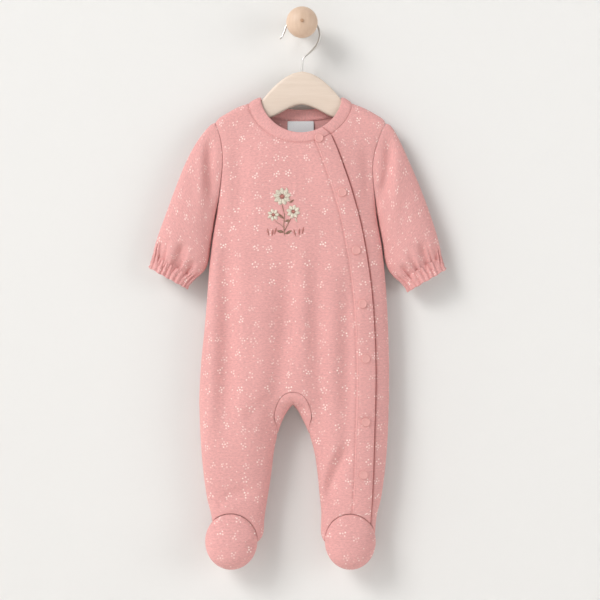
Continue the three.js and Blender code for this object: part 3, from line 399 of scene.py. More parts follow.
def cloth_wall(piece, thickness, levels=1):
    """A wall inwards from the surface, with its edges rounded by subdivision."""
    wall = piece.modifiers.new("wall", "SOLIDIFY")
    wall.thickness = thickness * MM
    wall.offset = -1
    if levels:
        soft = piece.modifiers.new("soft edges", "SUBSURF")
        soft.levels = soft.render_levels = levels
    return piece


def cloth_area(piece):
    """The area of the surface before it gets its wall, in square metres."""
    return sum(face.area for face in piece.data.polygons)


# %% [markdown]
# ## Shader maths
# Blender's maths nodes are slow to read. A small class wraps a socket, and ordinary sums
# between such sockets add the nodes. Any other node comes from one method, which sets its
# settings first and then its inputs.

# %% The socket class and the material class
class Socket:
    """An output socket that ordinary arithmetic can be written with."""

    def __init__(self, recipe, out):
        self.recipe, self.out = recipe, out

    def other(self, name):
        """Another output of the same node."""
        return Socket(self.recipe, self.out.node.outputs[name])

    def __add__(self, b):
        return self.recipe.maths("ADD", self, b)

    def __sub__(self, b):
        return self.recipe.maths("SUBTRACT", self, b)

    def __rsub__(self, a):
        return self.recipe.maths("SUBTRACT", a, self)

    def __mul__(self, b):
        return self.recipe.maths("MULTIPLY", self, b)

    def __truediv__(self, b):
        return self.recipe.maths("DIVIDE", self, b)

    __radd__, __rmul__ = __add__, __mul__


class Recipe:
    """One material: its node tree, with one method that adds any node."""

    def __init__(self, name):
        self.material = bpy.data.materials.new(name)
        self.material.use_nodes = True
        self.tree = self.material.node_tree
        self.tree.nodes.clear()

    def node(self, kind, settings=None, inputs=None, out=0):
        """Adds a node: its settings first, then each input, as a link or a plain value."""
        node = self.tree.nodes.new(kind)
        for key, value in (settings or {}).items():
            setattr(node, key, value)
        for key, value in (inputs or {}).items():
            if isinstance(value, Socket):
                self.tree.links.new(value.out, node.inputs[key])
            else:
                node.inputs[key].default_value = value
        return Socket(self, node.outputs[out] if len(node.outputs) else None)

    def maths(self, operation, *values, clamp=False):
        """One sum on the values, kept within 0 and 1 where clamp is set."""
        settings = {"operation": operation, "use_clamp": clamp}
        return self.node("ShaderNodeMath", settings, dict(enumerate(values)))

    def blend(self, factor, a, b):
        """Colour a where the factor is 0 and colour b where it is 1."""
        inputs = {0: factor, 6: a, 7: b}
        return self.node("ShaderNodeMix", {"data_type": "RGBA"}, inputs, out=2)

    def vector(self, x, y, z=0.0):
        """Three values as one vector."""
        return self.node("ShaderNodeCombineXYZ", {}, {0: x, 1: y, 2: z})

    def parts(self, vector):
        """A vector's three values."""
        split = self.node("ShaderNodeSeparateXYZ", {}, {0: vector})
        return split, split.other("Y"), split.other("Z")

    def cut(self):
        """The flat cut's two coordinates, in millimetres."""
        u, v, _ = self.parts(self.node("ShaderNodeUVMap", {"uv_map": "cut"}))
        return u * 1000, v * 1000

    def place(self):
        """The piece's own three coordinates, in millimetres."""
        x, y, z = self.parts(self.node("ShaderNodeTexCoord", {}, {}, out="Object"))
        return x * 1000, y * 1000, z * 1000

    def noise(self, vector, scale, detail=2.0, roughness=0.5):
        inputs = {"Vector": vector, "Scale": scale, "Detail": detail, "Roughness": roughness}
        return self.node("ShaderNodeTexNoise", {}, inputs)

    def finish(self, base, roughness, height=None, bump=0.0, **fixed):
        """The surface shader, with its relief, joined to the material's output."""
        inputs = {"Base Color": base, "Roughness": roughness, **fixed}
        if height is not None:
            relief = {"Strength": 1.0, "Distance": bump * MM, "Height": height}
            inputs["Normal"] = self.node("ShaderNodeBump", {}, relief)
        surface = self.node("ShaderNodeBsdfPrincipled", {}, inputs)
        self.node("ShaderNodeOutputMaterial", {}, {"Surface": surface})
        return self.material


def srgb(red, green, blue):
    """A colour as a screen shows it, turned to the linear values that shaders take."""
    c = np.array([red, green, blue]) / 255
    linear = np.where(c < 0.04045, c / 12.92, ((c + 0.055) / 1.055) ** 2.4)
    return (*linear.tolist(), 1.0)


# %% [markdown]
# ## The knit and its print
# Interlock cotton is a fine knit: upright columns of loops a millimetre apart, too small to
# see from a step away but soft to the light. It is dyed blush pink, slightly uneven, and
# printed with tiny pale dots in loose clusters with single dots between. A Voronoi texture
# gives each cluster a centre and a random turn, and a short chart places the dots round it.

# %% Cotton interlock with a ditsy print
CLUSTER_CELL = 22.5
CLUSTER = table(
    "x y radius least",
    (0.2, -0.1, 1.0, 0.25),
    (3.3, 0.6, 0.95, 0.1),
    (0.9, 3.0, 1.0, 0.25),
    (-2.9, 2.3, 0.9, 0.15),
    (-2.6, -2.0, 1.0, 0.3),
    (1.2, -3.4, 0.9, 0.2),
)
SINGLE_CELL = 10.5


def dot(recipe, gap, strength):
    """A soft-edged dot: full inside, fading to nothing 0.3 mm outside its edge."""
    return recipe.maths("SUBTRACT", 0.5, gap * 1.8, clamp=True) * strength


def ditsy_dots(recipe, u, v):
    """Dots round each cluster's centre and single dots between, as a mask with soft edges."""
    cells = {"voronoi_dimensions": "2D"}
    cu, cv = u / CLUSTER_CELL, v / CLUSTER_CELL
    inputs = {"Vector": recipe.vector(cu, cv), "Scale": 1.0, "Randomness": 0.6}
    cluster = recipe.node("ShaderNodeTexVoronoi", cells, inputs)
    px, py, _ = recipe.parts(cluster.other("Position"))
    turn, strength, keep = recipe.parts(cluster.other("Color"))
    x, y = (cu - px) * CLUSTER_CELL, (cv - py) * CLUSTER_CELL
    cos, sin = recipe.maths("COSINE", turn * 6.283), recipe.maths("SINE", turn * 6.283)
    lx, ly = x * cos + y * sin, y * cos - x * sin
    mask = 0.0
    for k, (dot_x, dot_y, radius, least) in enumerate(zip(*CLUSTER.values())):
        dx, dy = lx - dot_x, ly - dot_y
        chance = recipe.maths("FRACT", keep * 5.3 + 0.37 * k)
        shown = recipe.maths("GREATER_THAN", chance, least)
        gap = recipe.maths("SQRT", dx * dx + dy * dy) - shown * (2 * radius) + radius
        mask = recipe.maths("MAXIMUM", mask, dot(recipe, gap, chance * 0.5 + strength * 0.5))
    su, sv = u / SINGLE_CELL + 0.4, v / SINGLE_CELL + 0.7
    inputs = {"Vector": recipe.vector(su, sv), "Scale": 1.0, "Randomness": 0.95}
    single = recipe.node("ShaderNodeTexVoronoi", cells, inputs)
    chance, faint, size = recipe.parts(single.other("Color"))
    radius = recipe.maths("GREATER_THAN", chance, 0.45) * 1.5 - 0.9 + size * 0.35
    singles = dot(recipe, single * SINGLE_CELL - radius, faint * 0.6 + 0.15)
    return recipe.maths("MAXIMUM", mask, singles, clamp=True)


def knit_height(recipe, u, v):
    """Columns of loops: a rounded ridge each 1.1 mm, swaying once each 0.9 mm of height."""
    sway = recipe.maths("SINE", v * (6.283 / 0.9)) * 0.5
    return recipe.maths("ABSOLUTE", recipe.maths("SINE", u * (3.1416 / 1.1) + sway))


def cotton(name, printed=True, tint=(226, 167, 164)):
    """Matte dyed interlock: uneven dye, loops in relief, and the print on top."""
    recipe = Recipe(name)
    u, v = recipe.cut()
    flat = recipe.vector(u, v)
    cloudy = recipe.noise(flat, 0.02, 3.0)
    heather = recipe.noise(recipe.vector(u * 0.5, v), 0.5, 4.0, 0.75)
    deep = srgb(*[c * 0.88 for c in tint])
    light = srgb(*[min(255, c * 1.07) for c in tint])
    shade = recipe.maths("ADD", cloudy * 0.3, heather * 1.7 - 0.5, clamp=True)
    base = recipe.blend(shade, deep, light)
    loops = knit_height(recipe, u, v)
    height = loops * 0.5 + heather * 0.8
    if printed:
        dots = ditsy_dots(recipe, u, v)
        base = recipe.blend(dots, base, srgb(255, 236, 230))
        height = height + dots * 0.4
    rough = heather * 0.12 + 0.84
    sheen = {"Sheen Weight": 0.18, "Sheen Roughness": 0.5, "Sheen Tint": srgb(255, 226, 222)}
    return recipe.finish(base, rough, height, 0.12, **{"Specular IOR Level": 0.25}, **sheen)


jersey = cotton("blush interlock with ditsy print")
plain_jersey = cotton("blush interlock binding", printed=False, tint=(226, 167, 164))
print("cloth materials:", jersey.name, "and", plain_jersey.name)

# %% [markdown]
# ## Cutting the panels
# A panel's grid runs from the shoulder to the foot seam. Its rows are level over the body,
# and at its top and bottom they bend into the neck and foot curves with a Coons patch,
# which blends four border curves. Columns crowd together where the cloth turns over at a
# side seam, as half a cosine wave spaces them.

# %% Neck, foot and gusset borders
CHEST_Z, ANKLE_Z = -215.0, -600.0
GUSSET_X, GUSSET_TOP, GUSSET_TIP = -11.4, -465.0, -518.0
FOOT_LEFT = dict(x=-89.5, z=-654.3, rx=33.4, rz=35.9, outer=138.0, inner=-2.0)
FOOT_RIGHT = dict(x=61.2, z=-654.3, rx=32.6, rz=35.9, outer=15.0, inner=182.0)
NECK_SEAM = dict(x=-2.0, rx=65.5, z=-99.0, front=51.4, back=20.5)
NECK_EDGE = dict(x=-0.9, rx=51.8, z=-91.3, front=46.4, back=15.0)
PLACKET_WIDTH, UNDERLAP = 23.0, 20.0


def neck_point(angle, v):
    """A half-round drop in front and behind: depth times the sine, on a half-wide cosine."""
    cos, sin = np.cos(np.radians(angle)), np.sin(np.radians(angle))
    width, middle, top = (mix(NECK_SEAM[k], NECK_EDGE[k], v) for k in ("rx", "x", "z"))
    front, back = (mix(NECK_SEAM[k], NECK_EDGE[k], v) for k in ("front", "back"))
    drop = np.where(sin > 0, front, back) * np.abs(sin) ** 1.15
    return middle + width * cos, top - drop


def foot_point(foot, angle):
    """An ellipse, 0.6% larger than the foot."""
    x = foot["x"] + foot["rx"] * 1.006 * np.cos(np.radians(angle))
    return x, foot["z"] + foot["rz"] * 1.006 * np.sin(np.radians(angle))


def crossing(curve, beside, start, end):
    """The angle at which a curve crosses a line beside the closure."""
    angle = np.linspace(start, end, 4001)
    x, z = curve(angle)
    return float(np.interp(0, (x - closure(z) + beside)[::-1], angle[::-1]))


def neck_curve(angle):
    """The neck seam, at the panels' edge."""
    return neck_point(angle, -0.015)


closure_angle, placket_angle, underlap_angle = (
    crossing(neck_curve, beside, 10, 120) for beside in (0, PLACKET_WIDTH, UNDERLAP)
)
closure_foot, placket_foot, underlap_foot = (
    crossing(lambda a: foot_point(FOOT_RIGHT, a), beside, 10, 150)
    for beside in (0, PLACKET_WIDTH, UNDERLAP)
)
middle_angle = float(np.degrees(np.arccos((GUSSET_X + 2) / 65.5)))


def neck_gap(x, z):
    """Distance from the neck seam in millimetres, by the nearest of 720 points along it."""
    seam_x, seam_z = neck_curve(np.arange(0, 360, 0.5))
    return np.sqrt(((x[..., None] - seam_x) ** 2 + (z[..., None] - seam_z) ** 2).min(-1))


print("closure meets the neck at", round(closure_angle, 1), "degrees")


# %% Panel edges as curves
def shoulder_then_neck(tip, start, end, corner):
    """Along the shoulder line to the neck point, then along the neck seam."""

    def edge(g):
        g = np.asarray(g, float)
        share = np.clip((g - corner) / (1 - corner), 0, 1) ** 1.5
        neck_x, neck_z = neck_curve(mix(start, end, share))
        x = mix(tip, neck_curve(start)[0], np.minimum(1, g / corner))
        return np.where(g > corner, neck_x, x), np.where(g > corner, neck_z, ridge(x))

    return edge


def mirrored(edge):
    """The same edge, run from its other end."""
    return lambda g: edge(1 - np.asarray(g, float))


def neck_only(start, end):
    """A stretch of the neck seam."""
    return lambda g: neck_curve(mix(start, end, np.asarray(g, float)))


def foot_edge(foot, start, end):
    """A stretch of the seam round the front of an ankle."""
    return lambda g: foot_point(foot, mix(start, end, np.asarray(g, float)))


def heel_edge(foot, start, end, shift):
    """The heel seam, which dips 5 mm between the foot's two corners."""

    def edge(g):
        g = np.asarray(g, float)
        turn = np.radians([start, end])
        xs, zs = foot["x"] + foot["rx"] * np.cos(turn), foot["z"] + foot["rz"] * np.sin(turn)
        return mix(xs[0], xs[1], g), mix(zs[0], zs[1], g) - 5 * np.sin(np.pi * g) + shift

    return edge


def arch_x(leg, z, grow):
    """The gusset's arch: a superellipse that is drawn out to a point down the inseam."""
    way = -1 if leg == "left" else 1
    rise = np.clip((z + 512) / (GUSSET_TOP + grow + 512), 0, 1)
    arch = GUSSET_X + way * (25 + grow) * (1 - rise**2.2) ** 0.4
    tip = inseam[leg](np.minimum(z, CROTCH_Z)) + way * (0.8 + grow)
    return mix(arch, tip, smooth(-496, GUSSET_TIP, z))


def leg_border(leg):
    """The middle of the body, then round the gusset, then down the inseam."""

    def border(z):
        z = np.asarray(z, float)
        low = np.where(z < GUSSET_TIP - 3, inseam[leg](z), arch_x(leg, z, 0.2))
        return np.where(z > GUSSET_TOP + 0.19, GUSSET_X, low)

    return border


def placket_line(z):
    """The facing's inner edge."""
    return closure(z) - PLACKET_WIDTH


# %% The grid of one panel
YOKE = 1 - np.cos(np.linspace(0, np.pi / 2, 24))
ARCH = GUSSET_TOP + 0.2 - 53 * np.linspace(0, 1, 15) ** 2
BAR_Z = -497.0
BAR_ROWS = BAR_Z + np.array([1.4, 0.0, -1.4])
ARCH = np.sort(np.append(ARCH[np.abs(ARCH - BAR_Z) > 2.5], BAR_ROWS))[::-1]
LEVELS = np.concatenate([np.linspace(CHEST_Z - 5, -462, 50), ARCH, np.linspace(-522, ANKLE_Z, 18)])
FOOT_ROWS = np.linspace(0, 1, 11)[1:]


def crowded(count, lo=False, hi=False, keep=None):
    """Shares from 0 to 1, crowded by a cosine at the ends where the cloth turns over."""
    t = np.linspace(0, 1, count)
    if lo and hi:
        shares = (1 - np.cos(np.pi * t)) / 2
    elif lo:
        shares = 1 - np.cos(np.pi / 2 * t)
    else:
        shares = np.sin(np.pi / 2 * t) if hi else t
    if keep is not None:
        shares[np.argmin(np.abs(shares - keep))] = keep
    return shares


def between(lo, hi, top, bottom, g, v):
    """A Coons patch: the ruled sides, plus what the top and bottom edges add to them."""
    (top_x, top_z), (base_x, base_z) = top(g), bottom(g)
    ends = [np.array(edge(e)) for edge in (top, bottom) for e in (0.0, 1.0)]
    z_lo, z_hi = mix(ends[0][1], ends[2][1], v), mix(ends[1][1], ends[3][1], v)
    x, z = mix(lo(z_lo), hi(z_hi), g), mix(z_lo, z_hi, g)
    x = x + (1 - v) * (top_x - mix(ends[0][0], ends[1][0], g))
    x = x + v * (base_x - mix(ends[2][0], ends[3][0], g))
    z = z + (1 - v) * (top_z - mix(ends[0][1], ends[1][1], g))
    return x, z + v * (base_z - mix(ends[2][1], ends[3][1], g))


def panel_view(lo, hi, top, bottom, shares):
    """A panel's points in the front view: a bent yoke, level rows, and a bent foot."""
    g = shares[None, :]

    def level(z):
        return lambda share: (mix(lo(z), hi(z), share), z + 0 * share)

    yoke = between(lo, hi, top, level(CHEST_Z), g, YOKE[:, None])
    z = LEVELS[:, None]
    body = mix(lo(z), hi(z), g), z + 0 * g
    foot = between(lo, hi, level(ANKLE_Z), bottom, g, FOOT_ROWS[:, None])
    return [np.vstack([part[i] for part in (yoke, body, foot)]) for i in (0, 1)]


def edge_roll(x, z, lo, hi, seams):
    """How far the surface sinks beside a seam: 0.5 mm at the edge, fading over 1.5 mm."""
    sink = np.zeros(x.shape)
    if "lo" in seams:
        sink = sink + np.exp(-np.abs(x - lo(z)) / 1.4)
    if "hi" in seams:
        sink = sink + np.exp(-np.abs(x - hi(z)) / 1.4)
    if "neck" in seams:
        sink = sink + 1.6 * np.exp(-neck_gap(x, z) / 1.5)
    return -0.5 * sink


def panel(lo, hi, top, bottom, shares, put, column, seams=(), raised=None):
    """A panel's points, outward directions and flat cut."""
    x, z = panel_view(lo, hi, top, bottom, shares)
    offset = edge_roll(x, z, lo, hi, seams)
    if raised is not None:
        offset = offset + raised(x, z, shares)
    points, normal = put(x, z, offset)
    flat = cut_map(points, column, z)
    flat[..., 0] += x[:, [column]]
    return points, normal, flat


# %% [markdown]
# ## The front
# The upper front is one piece: a whole leg, the middle of the body, and the other leg as
# far as the slanting closure. The under front lies beneath it and runs to the side seam.
# Between them the cloth dips, so that the closure shows as the dark line it is.

# %% Upper front panel
def front_of(x, z, raised):
    return on_body("front", x, z, raised)


def back_of(x, z, raised):
    """The back's surface at a point of the front view, raised by so many millimetres."""
    return on_body("back", x, z, raised)


def pressed(x, z, shares):
    """A crease 0.9 mm deep along the facing's inner edge, where its stitching draws the cloth."""
    return -0.9 * np.exp(-(((x - placket_line(z) + 0.9) / 1.1) ** 2))


LEFT_SHARES = crowded(40, lo=True, hi=True, keep=0.43)
left_top = shoulder_then_neck(-110, 180, middle_angle, 0.43)
left_front = panel(
    outline["left"], leg_border("left"), left_top, foot_edge(FOOT_LEFT, 138, -2),
    LEFT_SHARES, on_upper, -1, seams=["lo", "neck"],
)
middle_front = panel(
    leg_border("right"), placket_line, neck_only(middle_angle, placket_angle),
    foot_edge(FOOT_RIGHT, 182, placket_foot), crowded(26, lo=True, hi=True), on_upper, 0,
    seams=["neck"], raised=pressed,
)
closure_front = panel(
    placket_line, closure, neck_only(placket_angle, closure_angle),
    foot_edge(FOOT_RIGHT, placket_foot, closure_foot), crowded(9), on_upper, 0, seams=["neck"],
    raised=pressed,
)
closure_front[2][..., 0] += (middle_front[2][:, -1:, 0] - closure_front[2][:, :1, 0])
front_mesh = join_patches(
    "upper_front",
    [
        turn_in(left_front, lo=True, top=True, bottom=True),
        turn_in(middle_front, top=True, bottom=True),
        turn_in(closure_front, hi=True, top=True, bottom=True),
    ],
)
upper_front = cloth_wall(place(front_mesh, jersey, ["front_panel"]), 1.2)
print("upper front:", len(front_mesh.polygons), "quads,", round(cloth_area(upper_front), 4), "m2")

# %% Under front panel
def beneath(x, z, shares):
    """0.9 mm down beneath the flap, level 2.6 mm past it, less a groove 1.5 mm deep at its edge."""
    past = x - closure(z)
    return -0.9 * (1 - smooth(0, 2.6, past)) - 1.5 * np.exp(-(((past - 0.2) / 1.1) ** 2))


hidden_front = panel(
    lambda z: closure(z) - UNDERLAP, closure, neck_only(underlap_angle, closure_angle),
    foot_edge(FOOT_RIGHT, underlap_foot, closure_foot), crowded(10, hi=True), front_of, -1,
    raised=beneath,
)
side_top = mirrored(shoulder_then_neck(106, 0, closure_angle, 0.5))
shown_front = panel(
    closure, outline["right"], side_top, foot_edge(FOOT_RIGHT, closure_foot, 15),
    crowded(36, lo=True, hi=True, keep=0.5), front_of, 0, seams=["hi", "neck"],
    raised=beneath,
)
side_mesh = join_patches(
    "under_front",
    [
        turn_in(hidden_front, top=True, bottom=True),
        turn_in(shown_front, hi=True, top=True, bottom=True),
    ],
)
side_nodes = ["front_side_panel", "front_side_panel_leg"]
under_front = cloth_wall(place(side_mesh, jersey, side_nodes), 1.2)
print("under front:", round(cloth_area(under_front), 4), "m2")

# %% [markdown]
# ## The back
# The back is cut in one piece with both legs. It hangs with the same soft upright folds as
# the front, so it uses the same surface function with its own short table.

# %% Back panel
left_back = panel(
    outline["left"], leg_border("left"),
    shoulder_then_neck(-110, 180, 360 - middle_angle, 0.43),
    heel_edge(FOOT_LEFT, 138, -2, 0.2), LEFT_SHARES, back_of, -1, seams=["lo"],
)
right_back = panel(
    leg_border("right"), outline["right"],
    mirrored(shoulder_then_neck(106, 360, 360 - middle_angle, 0.36)),
    heel_edge(FOOT_RIGHT, 182, 15, 0.2), crowded(38, lo=True, hi=True, keep=0.64), back_of, 0,
    seams=["hi"],
)
back_mesh = join_patches(
    "back",
    [
        turn_in(left_back, lo=True, top=True, bottom=True),
        turn_in(right_back, hi=True, top=True, bottom=True),
    ],
)
BACK_SOLIDS = ["back_panel_chest", "back_panel_hips", "back_panel_leg_left", "back_panel_leg_right"]
back_cloth = cloth_wall(place(back_mesh, jersey, BACK_SOLIDS), 1.4)
print("back:", len(back_mesh.polygons), "quads,", round(cloth_area(back_cloth), 4), "m2")

# %% [markdown]
# ## The placket facing
# Along the closure the front is faced with a second layer, so it lies a little prouder and
# stiffer. Its inner edge is stitched down, which pulls a fine groove beside the edge.

# %% Placket facing
def facing_height(x, z, shares):
    """1 mm proud, rounded at the inner edge, with stitched grooves 2 mm inside the edges."""
    from_edge, to_edge = x - placket_line(z), closure(z) - x
    groove = 0.6 * np.exp(-(((from_edge - 2.3) / 0.8) ** 2))
    groove = groove + 0.25 * np.exp(-(((to_edge - 2.4) / 0.8) ** 2))
    bar = 0.95 * np.exp(-(((z - BAR_Z) / 0.9) ** 2)) * smooth(2, 4, from_edge) * smooth(0, 1, to_edge)
    return 0.15 + 0.75 * smooth(0, 1.3, from_edge) - groove - bar


facing = panel(
    placket_line, closure, neck_only(placket_angle, closure_angle),
    foot_edge(FOOT_RIGHT, placket_foot, closure_foot),
    np.array([0, 0.035, 0.07, 0.1, 0.13, 0.18, 0.3, 0.45, 0.6, 0.75, 0.86, 0.9, 0.94, 1.0]), on_upper, 0,
    raised=facing_height,
)
facing[2][..., 0] += (middle_front[2][:, -1:, 0] - facing[2][:, :1, 0])
facing_mesh = join_patches("placket_facing", [turn_in(facing, hi=True, bottom=True, depths=(0.7, 1.6))])
placket = cloth_wall(place(facing_mesh, jersey, ["placket_band"]), 0.5)
print("facing:", round(cloth_area(placket), 4), "m2")

# %% [markdown]
# ## The crotch gusset
# An arch of cloth is let in where the legs part, so the suit fits over a nappy. It is one
# strip that starts at the arch on the front, rolls under the crotch, and ends at the arch
# on the back.

# %% Crotch gusset
def gusset_half(leg):
    """Rows down one side of the arch: front edge, fold beneath, back edge."""
    s = np.linspace(0, 1, 13)[:, None]
    w = np.linspace(0, 1, 11)[None, :]
    z = GUSSET_TOP - 0.2 - 53 * s**2
    x = np.where(s == 0, GUSSET_X, arch_x(leg, z, -0.15))
    fold_z = mix(CROTCH_Z, GUSSET_TIP - 0.2, s**1.5)
    fold_x = inseam[leg](fold_z)
    px, pz = mix(x, fold_x, w), mix(z, fold_z, w)
    halves = []
    for side in ("front", "back"):
        points, normal = on_body(side, px, pz, -0.15 * np.exp(-w * 8) + 0 * px)
        points[:, -1, 1] = middle_y(fold_z[:, 0])
        halves.append((points, normal))
    (front, front_n), (back, back_n) = halves
    points = np.concatenate([front, back[:, -2::-1]], axis=1)
    return points, np.concatenate([front_n, back_n[:, -2::-1]], axis=1)


halves = {leg: gusset_half(leg) for leg in ("left", "right")}
gusset_points, gusset_normal = (
    np.concatenate([halves["left"][i][::-1], halves["right"][i][1:]]) for i in (0, 1)
)
gusset_patch = gusset_points, gusset_normal, cut_map(gusset_points, 10)
gusset_mesh = join_patches("gusset", [turn_in(gusset_patch, lo=True, hi=True)])
gusset = cloth_wall(place(gusset_mesh, jersey, ["crotch_gusset"]), 1.4)
print("gusset:", round(cloth_area(gusset), 4), "m2")

# %% [markdown]
# ## The neck binding
# The neck edge is bound with a folded strip of the same cloth, about 13 mm wide. It runs
# from the closure right round the back and ends beneath its own start.

# %% Neck binding
angles = np.concatenate([
    np.linspace(closure_angle, 150, 90), np.linspace(150, 180, 24)[1:],
    180 + 90 * np.linspace(0, 1, 40)[1:] ** 1.5, 360 - 90 * (1 - np.linspace(0, 1, 40)[1:]) ** 1.5,
    360 + underlap_angle * np.linspace(0, 1, 80)[1:],
])[None, :]
bands = np.linspace(-0.01, 1, 10)[:, None]
slant = 6 * (1 - smooth(closure_angle, closure_angle + 24, angles))
neck_x, neck_z = neck_point(angles + slant * bands, bands)


def bound(side_x, side_z, angle, raised):
    """The surface under the binding: the upper front, then the back, then the under front."""
    upper, upper_n = on_upper(side_x, side_z, raised)
    rear, rear_n = on_body("back", side_x, side_z, raised)
    lower, lower_n = on_body("front", side_x, side_z, raised)
    angle = np.broadcast_to(angle, side_x.shape)[..., None]
    points = np.where(angle < 180, upper, np.where(angle < 360, rear, lower))
    normal = np.where(angle < 180, upper_n, np.where(angle < 360, rear_n, lower_n))
    points[..., 1] = np.where(np.abs(angle[..., 0] % 180) < 1e-6, HANG_Y, points[..., 1])
    return points, normal


past_end = 0.96 * (360 + closure_angle + 6 * bands - angles)
under_end = 0.9 * (1 - smooth(0, 2.6, past_end)) + 1.5 * np.exp(-(((past_end - 0.5) / 1.2) ** 2))
swell = 1.2 * (1 - np.abs(2 * bands - 1) ** 3) - 0.4 - np.where(angles > 300, under_end, 0)
binding_points, binding_normal = bound(neck_x, neck_z, angles + 0 * neck_z, swell)
binding_patch = binding_points, binding_normal, cut_map(binding_points.swapaxes(0, 1), 4).swapaxes(0, 1)
binding_sheet = turn_in(binding_patch, lo=True, hi=True, top=True, bottom=True, depths=(0.8, 2.2))
binding_mesh = join_patches("neck_band", [binding_sheet])
binding = cloth_wall(place(binding_mesh, plain_jersey, ["neck_binding"]), 1.2)
print("binding:", round(cloth_area(binding), 4), "m2")

# %% [markdown]
# ## Sleeves
# A sleeve is a tapered tube that leaves the armhole along the body's own edge and swings
# out. Its section is a rounded oval. Near the wrist it is gathered into the cuff, so fine
# pleats of uneven length run up from the seam.

# %% Sleeve tables
SLEEVE_COLUMNS = "t ox oz ix iz front back"
SLEEVES = {
    "left": table(
        SLEEVE_COLUMNS,
        (0, -110.4, -124, -109.6, -239.4, 14, 10),
        (0.08, -118, -128.5, -111.2, -246, 14, 10.5),
        (0.2, -132, -146, -112.7, -257, 15, 11),
        (0.35, -146, -171, -114.5, -270, 16, 12),
        (0.5, -158, -200, -116.3, -283, 17.8, 12.5),
        (0.65, -169.5, -231, -117.8, -296, 17.8, 13),
        (0.8, -180.5, -261, -121.6, -308, 17, 13),
        (0.9, -187, -281, -129, -317, 15, 12),
        (1, -190.5, -299.5, -140.5, -325.8, 12, 11),
    ),
    "right": table(
        SLEEVE_COLUMNS,
        (0, 106.4, -125, 95.8, -239.4, 14, 10),
        (0.08, 113, -128, 97.2, -247, 14, 10.5),
        (0.2, 122.5, -143, 99, -258, 15, 11),
        (0.35, 134, -168, 101.3, -271, 16, 12),
        (0.5, 146, -196, 103.3, -283, 17, 12.5),
        (0.65, 158.5, -228, 104.8, -296, 17, 13),
        (0.8, 170, -262, 109.4, -310, 17, 13),
        (0.9, 175.5, -283, 117.4, -320.5, 15, 12),
        (1, 178.5, -302, 128.6, -329, 12, 11),
    ),
}
SLEEVE_FOLDS = {
    "left": table(
        FOLD_COLUMNS,
        (-117, -146, -114, -226, -2, 6, 4.5),
        (-124, -160, -128, -250, -2, 8, -1.5),
        (-150, -278, -162, -312, 0, 5, 4),
        (-178, -272, -182, -302, 1, 5, 3.4),
        (-136, -300, -150, -318, 0, 4.5, 2.6),
    ),
    "right": table(
        FOLD_COLUMNS,
        (111, -142, 99, -226, 3, 7, 4.5),
        (120, -160, 114, -250, 2, 8, -1.5),
        (151, -276, 161, -313, -1, 5, 4),
        (168, -280, 172, -306, 0, 5, 3.2),
        (126, -306, 141, -322, 0, 4.5, 2.6),
    ),
}
CUFF_ENDS = {
    "left": dict(ox=-193.8, oz=-308.4, ix=-146.4, iz=-334.6),
    "right": dict(ox=182.2, oz=-310.8, ix=135.0, iz=-338.4),
}


# %% Sleeve surface
def sleeve_surface(arm, side, v, t):
    """v runs from the outer edge to the underarm edge, t down the arm and on down the cuff."""
    rows, end, edge = SLEEVES[arm], CUFF_ENDS[arm], outline[arm]
    away = -1 if arm == "left" else 1

    def at(name):
        inside = through(rows, "t", name)(np.minimum(t, 1))
        return inside + np.maximum(t - 1, 0) * (end.get(name, rows[name][-1]) - rows[name][-1])

    first = {name: rows[name][0] for name in rows}
    z0 = mix(first["oz"], -239.0, v)
    x0 = edge(z0)
    bow = 1 - smooth(0, 0.55, t)
    x = mix(at("ox"), at("ix"), v) + bow * (x0 + away * 0.15 - mix(first["ox"], first["ix"], v))
    z = mix(at("oz"), at("iz"), v) + bow * (z0 - mix(first["oz"], first["iz"], v))
    shape = rounded(v, 0, 1, 2.2)
    full = through(rows, "t", side)(np.minimum(1, t)) * shape
    fold = fold_depth(SLEEVE_FOLDS[arm], x, z) * smooth(0, 0.8, shape)
    fold = fold * (1.0 if side == "front" else 0.6)
    depth = mix(body_depth(side, x0, z0), full, smooth(0, 0.25, t)) - fold * smooth(0, 0.06, t)
    depth = np.maximum(0, depth)
    return np.stack([x, HANG_Y + (-depth if side == "front" else depth), z], -1)


def sleeve_tube(arm, v, t):
    """Rings of points down the front and back up behind, with outward directions."""
    v, t = np.broadcast_arrays(v[None, :], t[:, None])
    front = sleeve_surface(arm, "front", v, t)
    back = sleeve_surface(arm, "back", v, t)
    points = np.concatenate([front, back[:, -2:0:-1]], axis=1)
    wrapped = np.concatenate([points[:, -1:], points, points[:, :1]], axis=1)
    outward = wrapped - points.mean(axis=1, keepdims=True)
    return points, grid_normals(wrapped, outward)[:, 1:-1]


GATHERS = table(
    "at length depth",
    (0.04, 0.10, 1.0),
    (0.078, 0.17, 1.8),
    (0.115, 0.10, 1.2),
    (0.158, 0.23, 2.4),
    (0.20, 0.09, 1.3),
    (0.236, 0.14, 1.8),
    (0.275, 0.26, 2.6),
    (0.312, 0.10, 1.4),
    (0.352, 0.17, 2.1),
    (0.392, 0.10, 1.4),
    (0.432, 0.15, 1.7),
    (0.47, 0.09, 1.0),
)


def gathers(around, t):
    """Pleats above the cuff: narrow troughs at uneven places that fade up the arm."""
    total = np.zeros(np.broadcast(around, t).shape)
    for at, length, depth in zip(*GATHERS.values()):
        for middle in (at, 1 - at + 0.012):
            rise = smooth(1 - length, 1.0, t)
            width = 0.009 + 0.018 * length
            total = total + 2.3 * depth * rise**0.8 * np.exp(-(((around - middle) / width) ** 2))
    return total


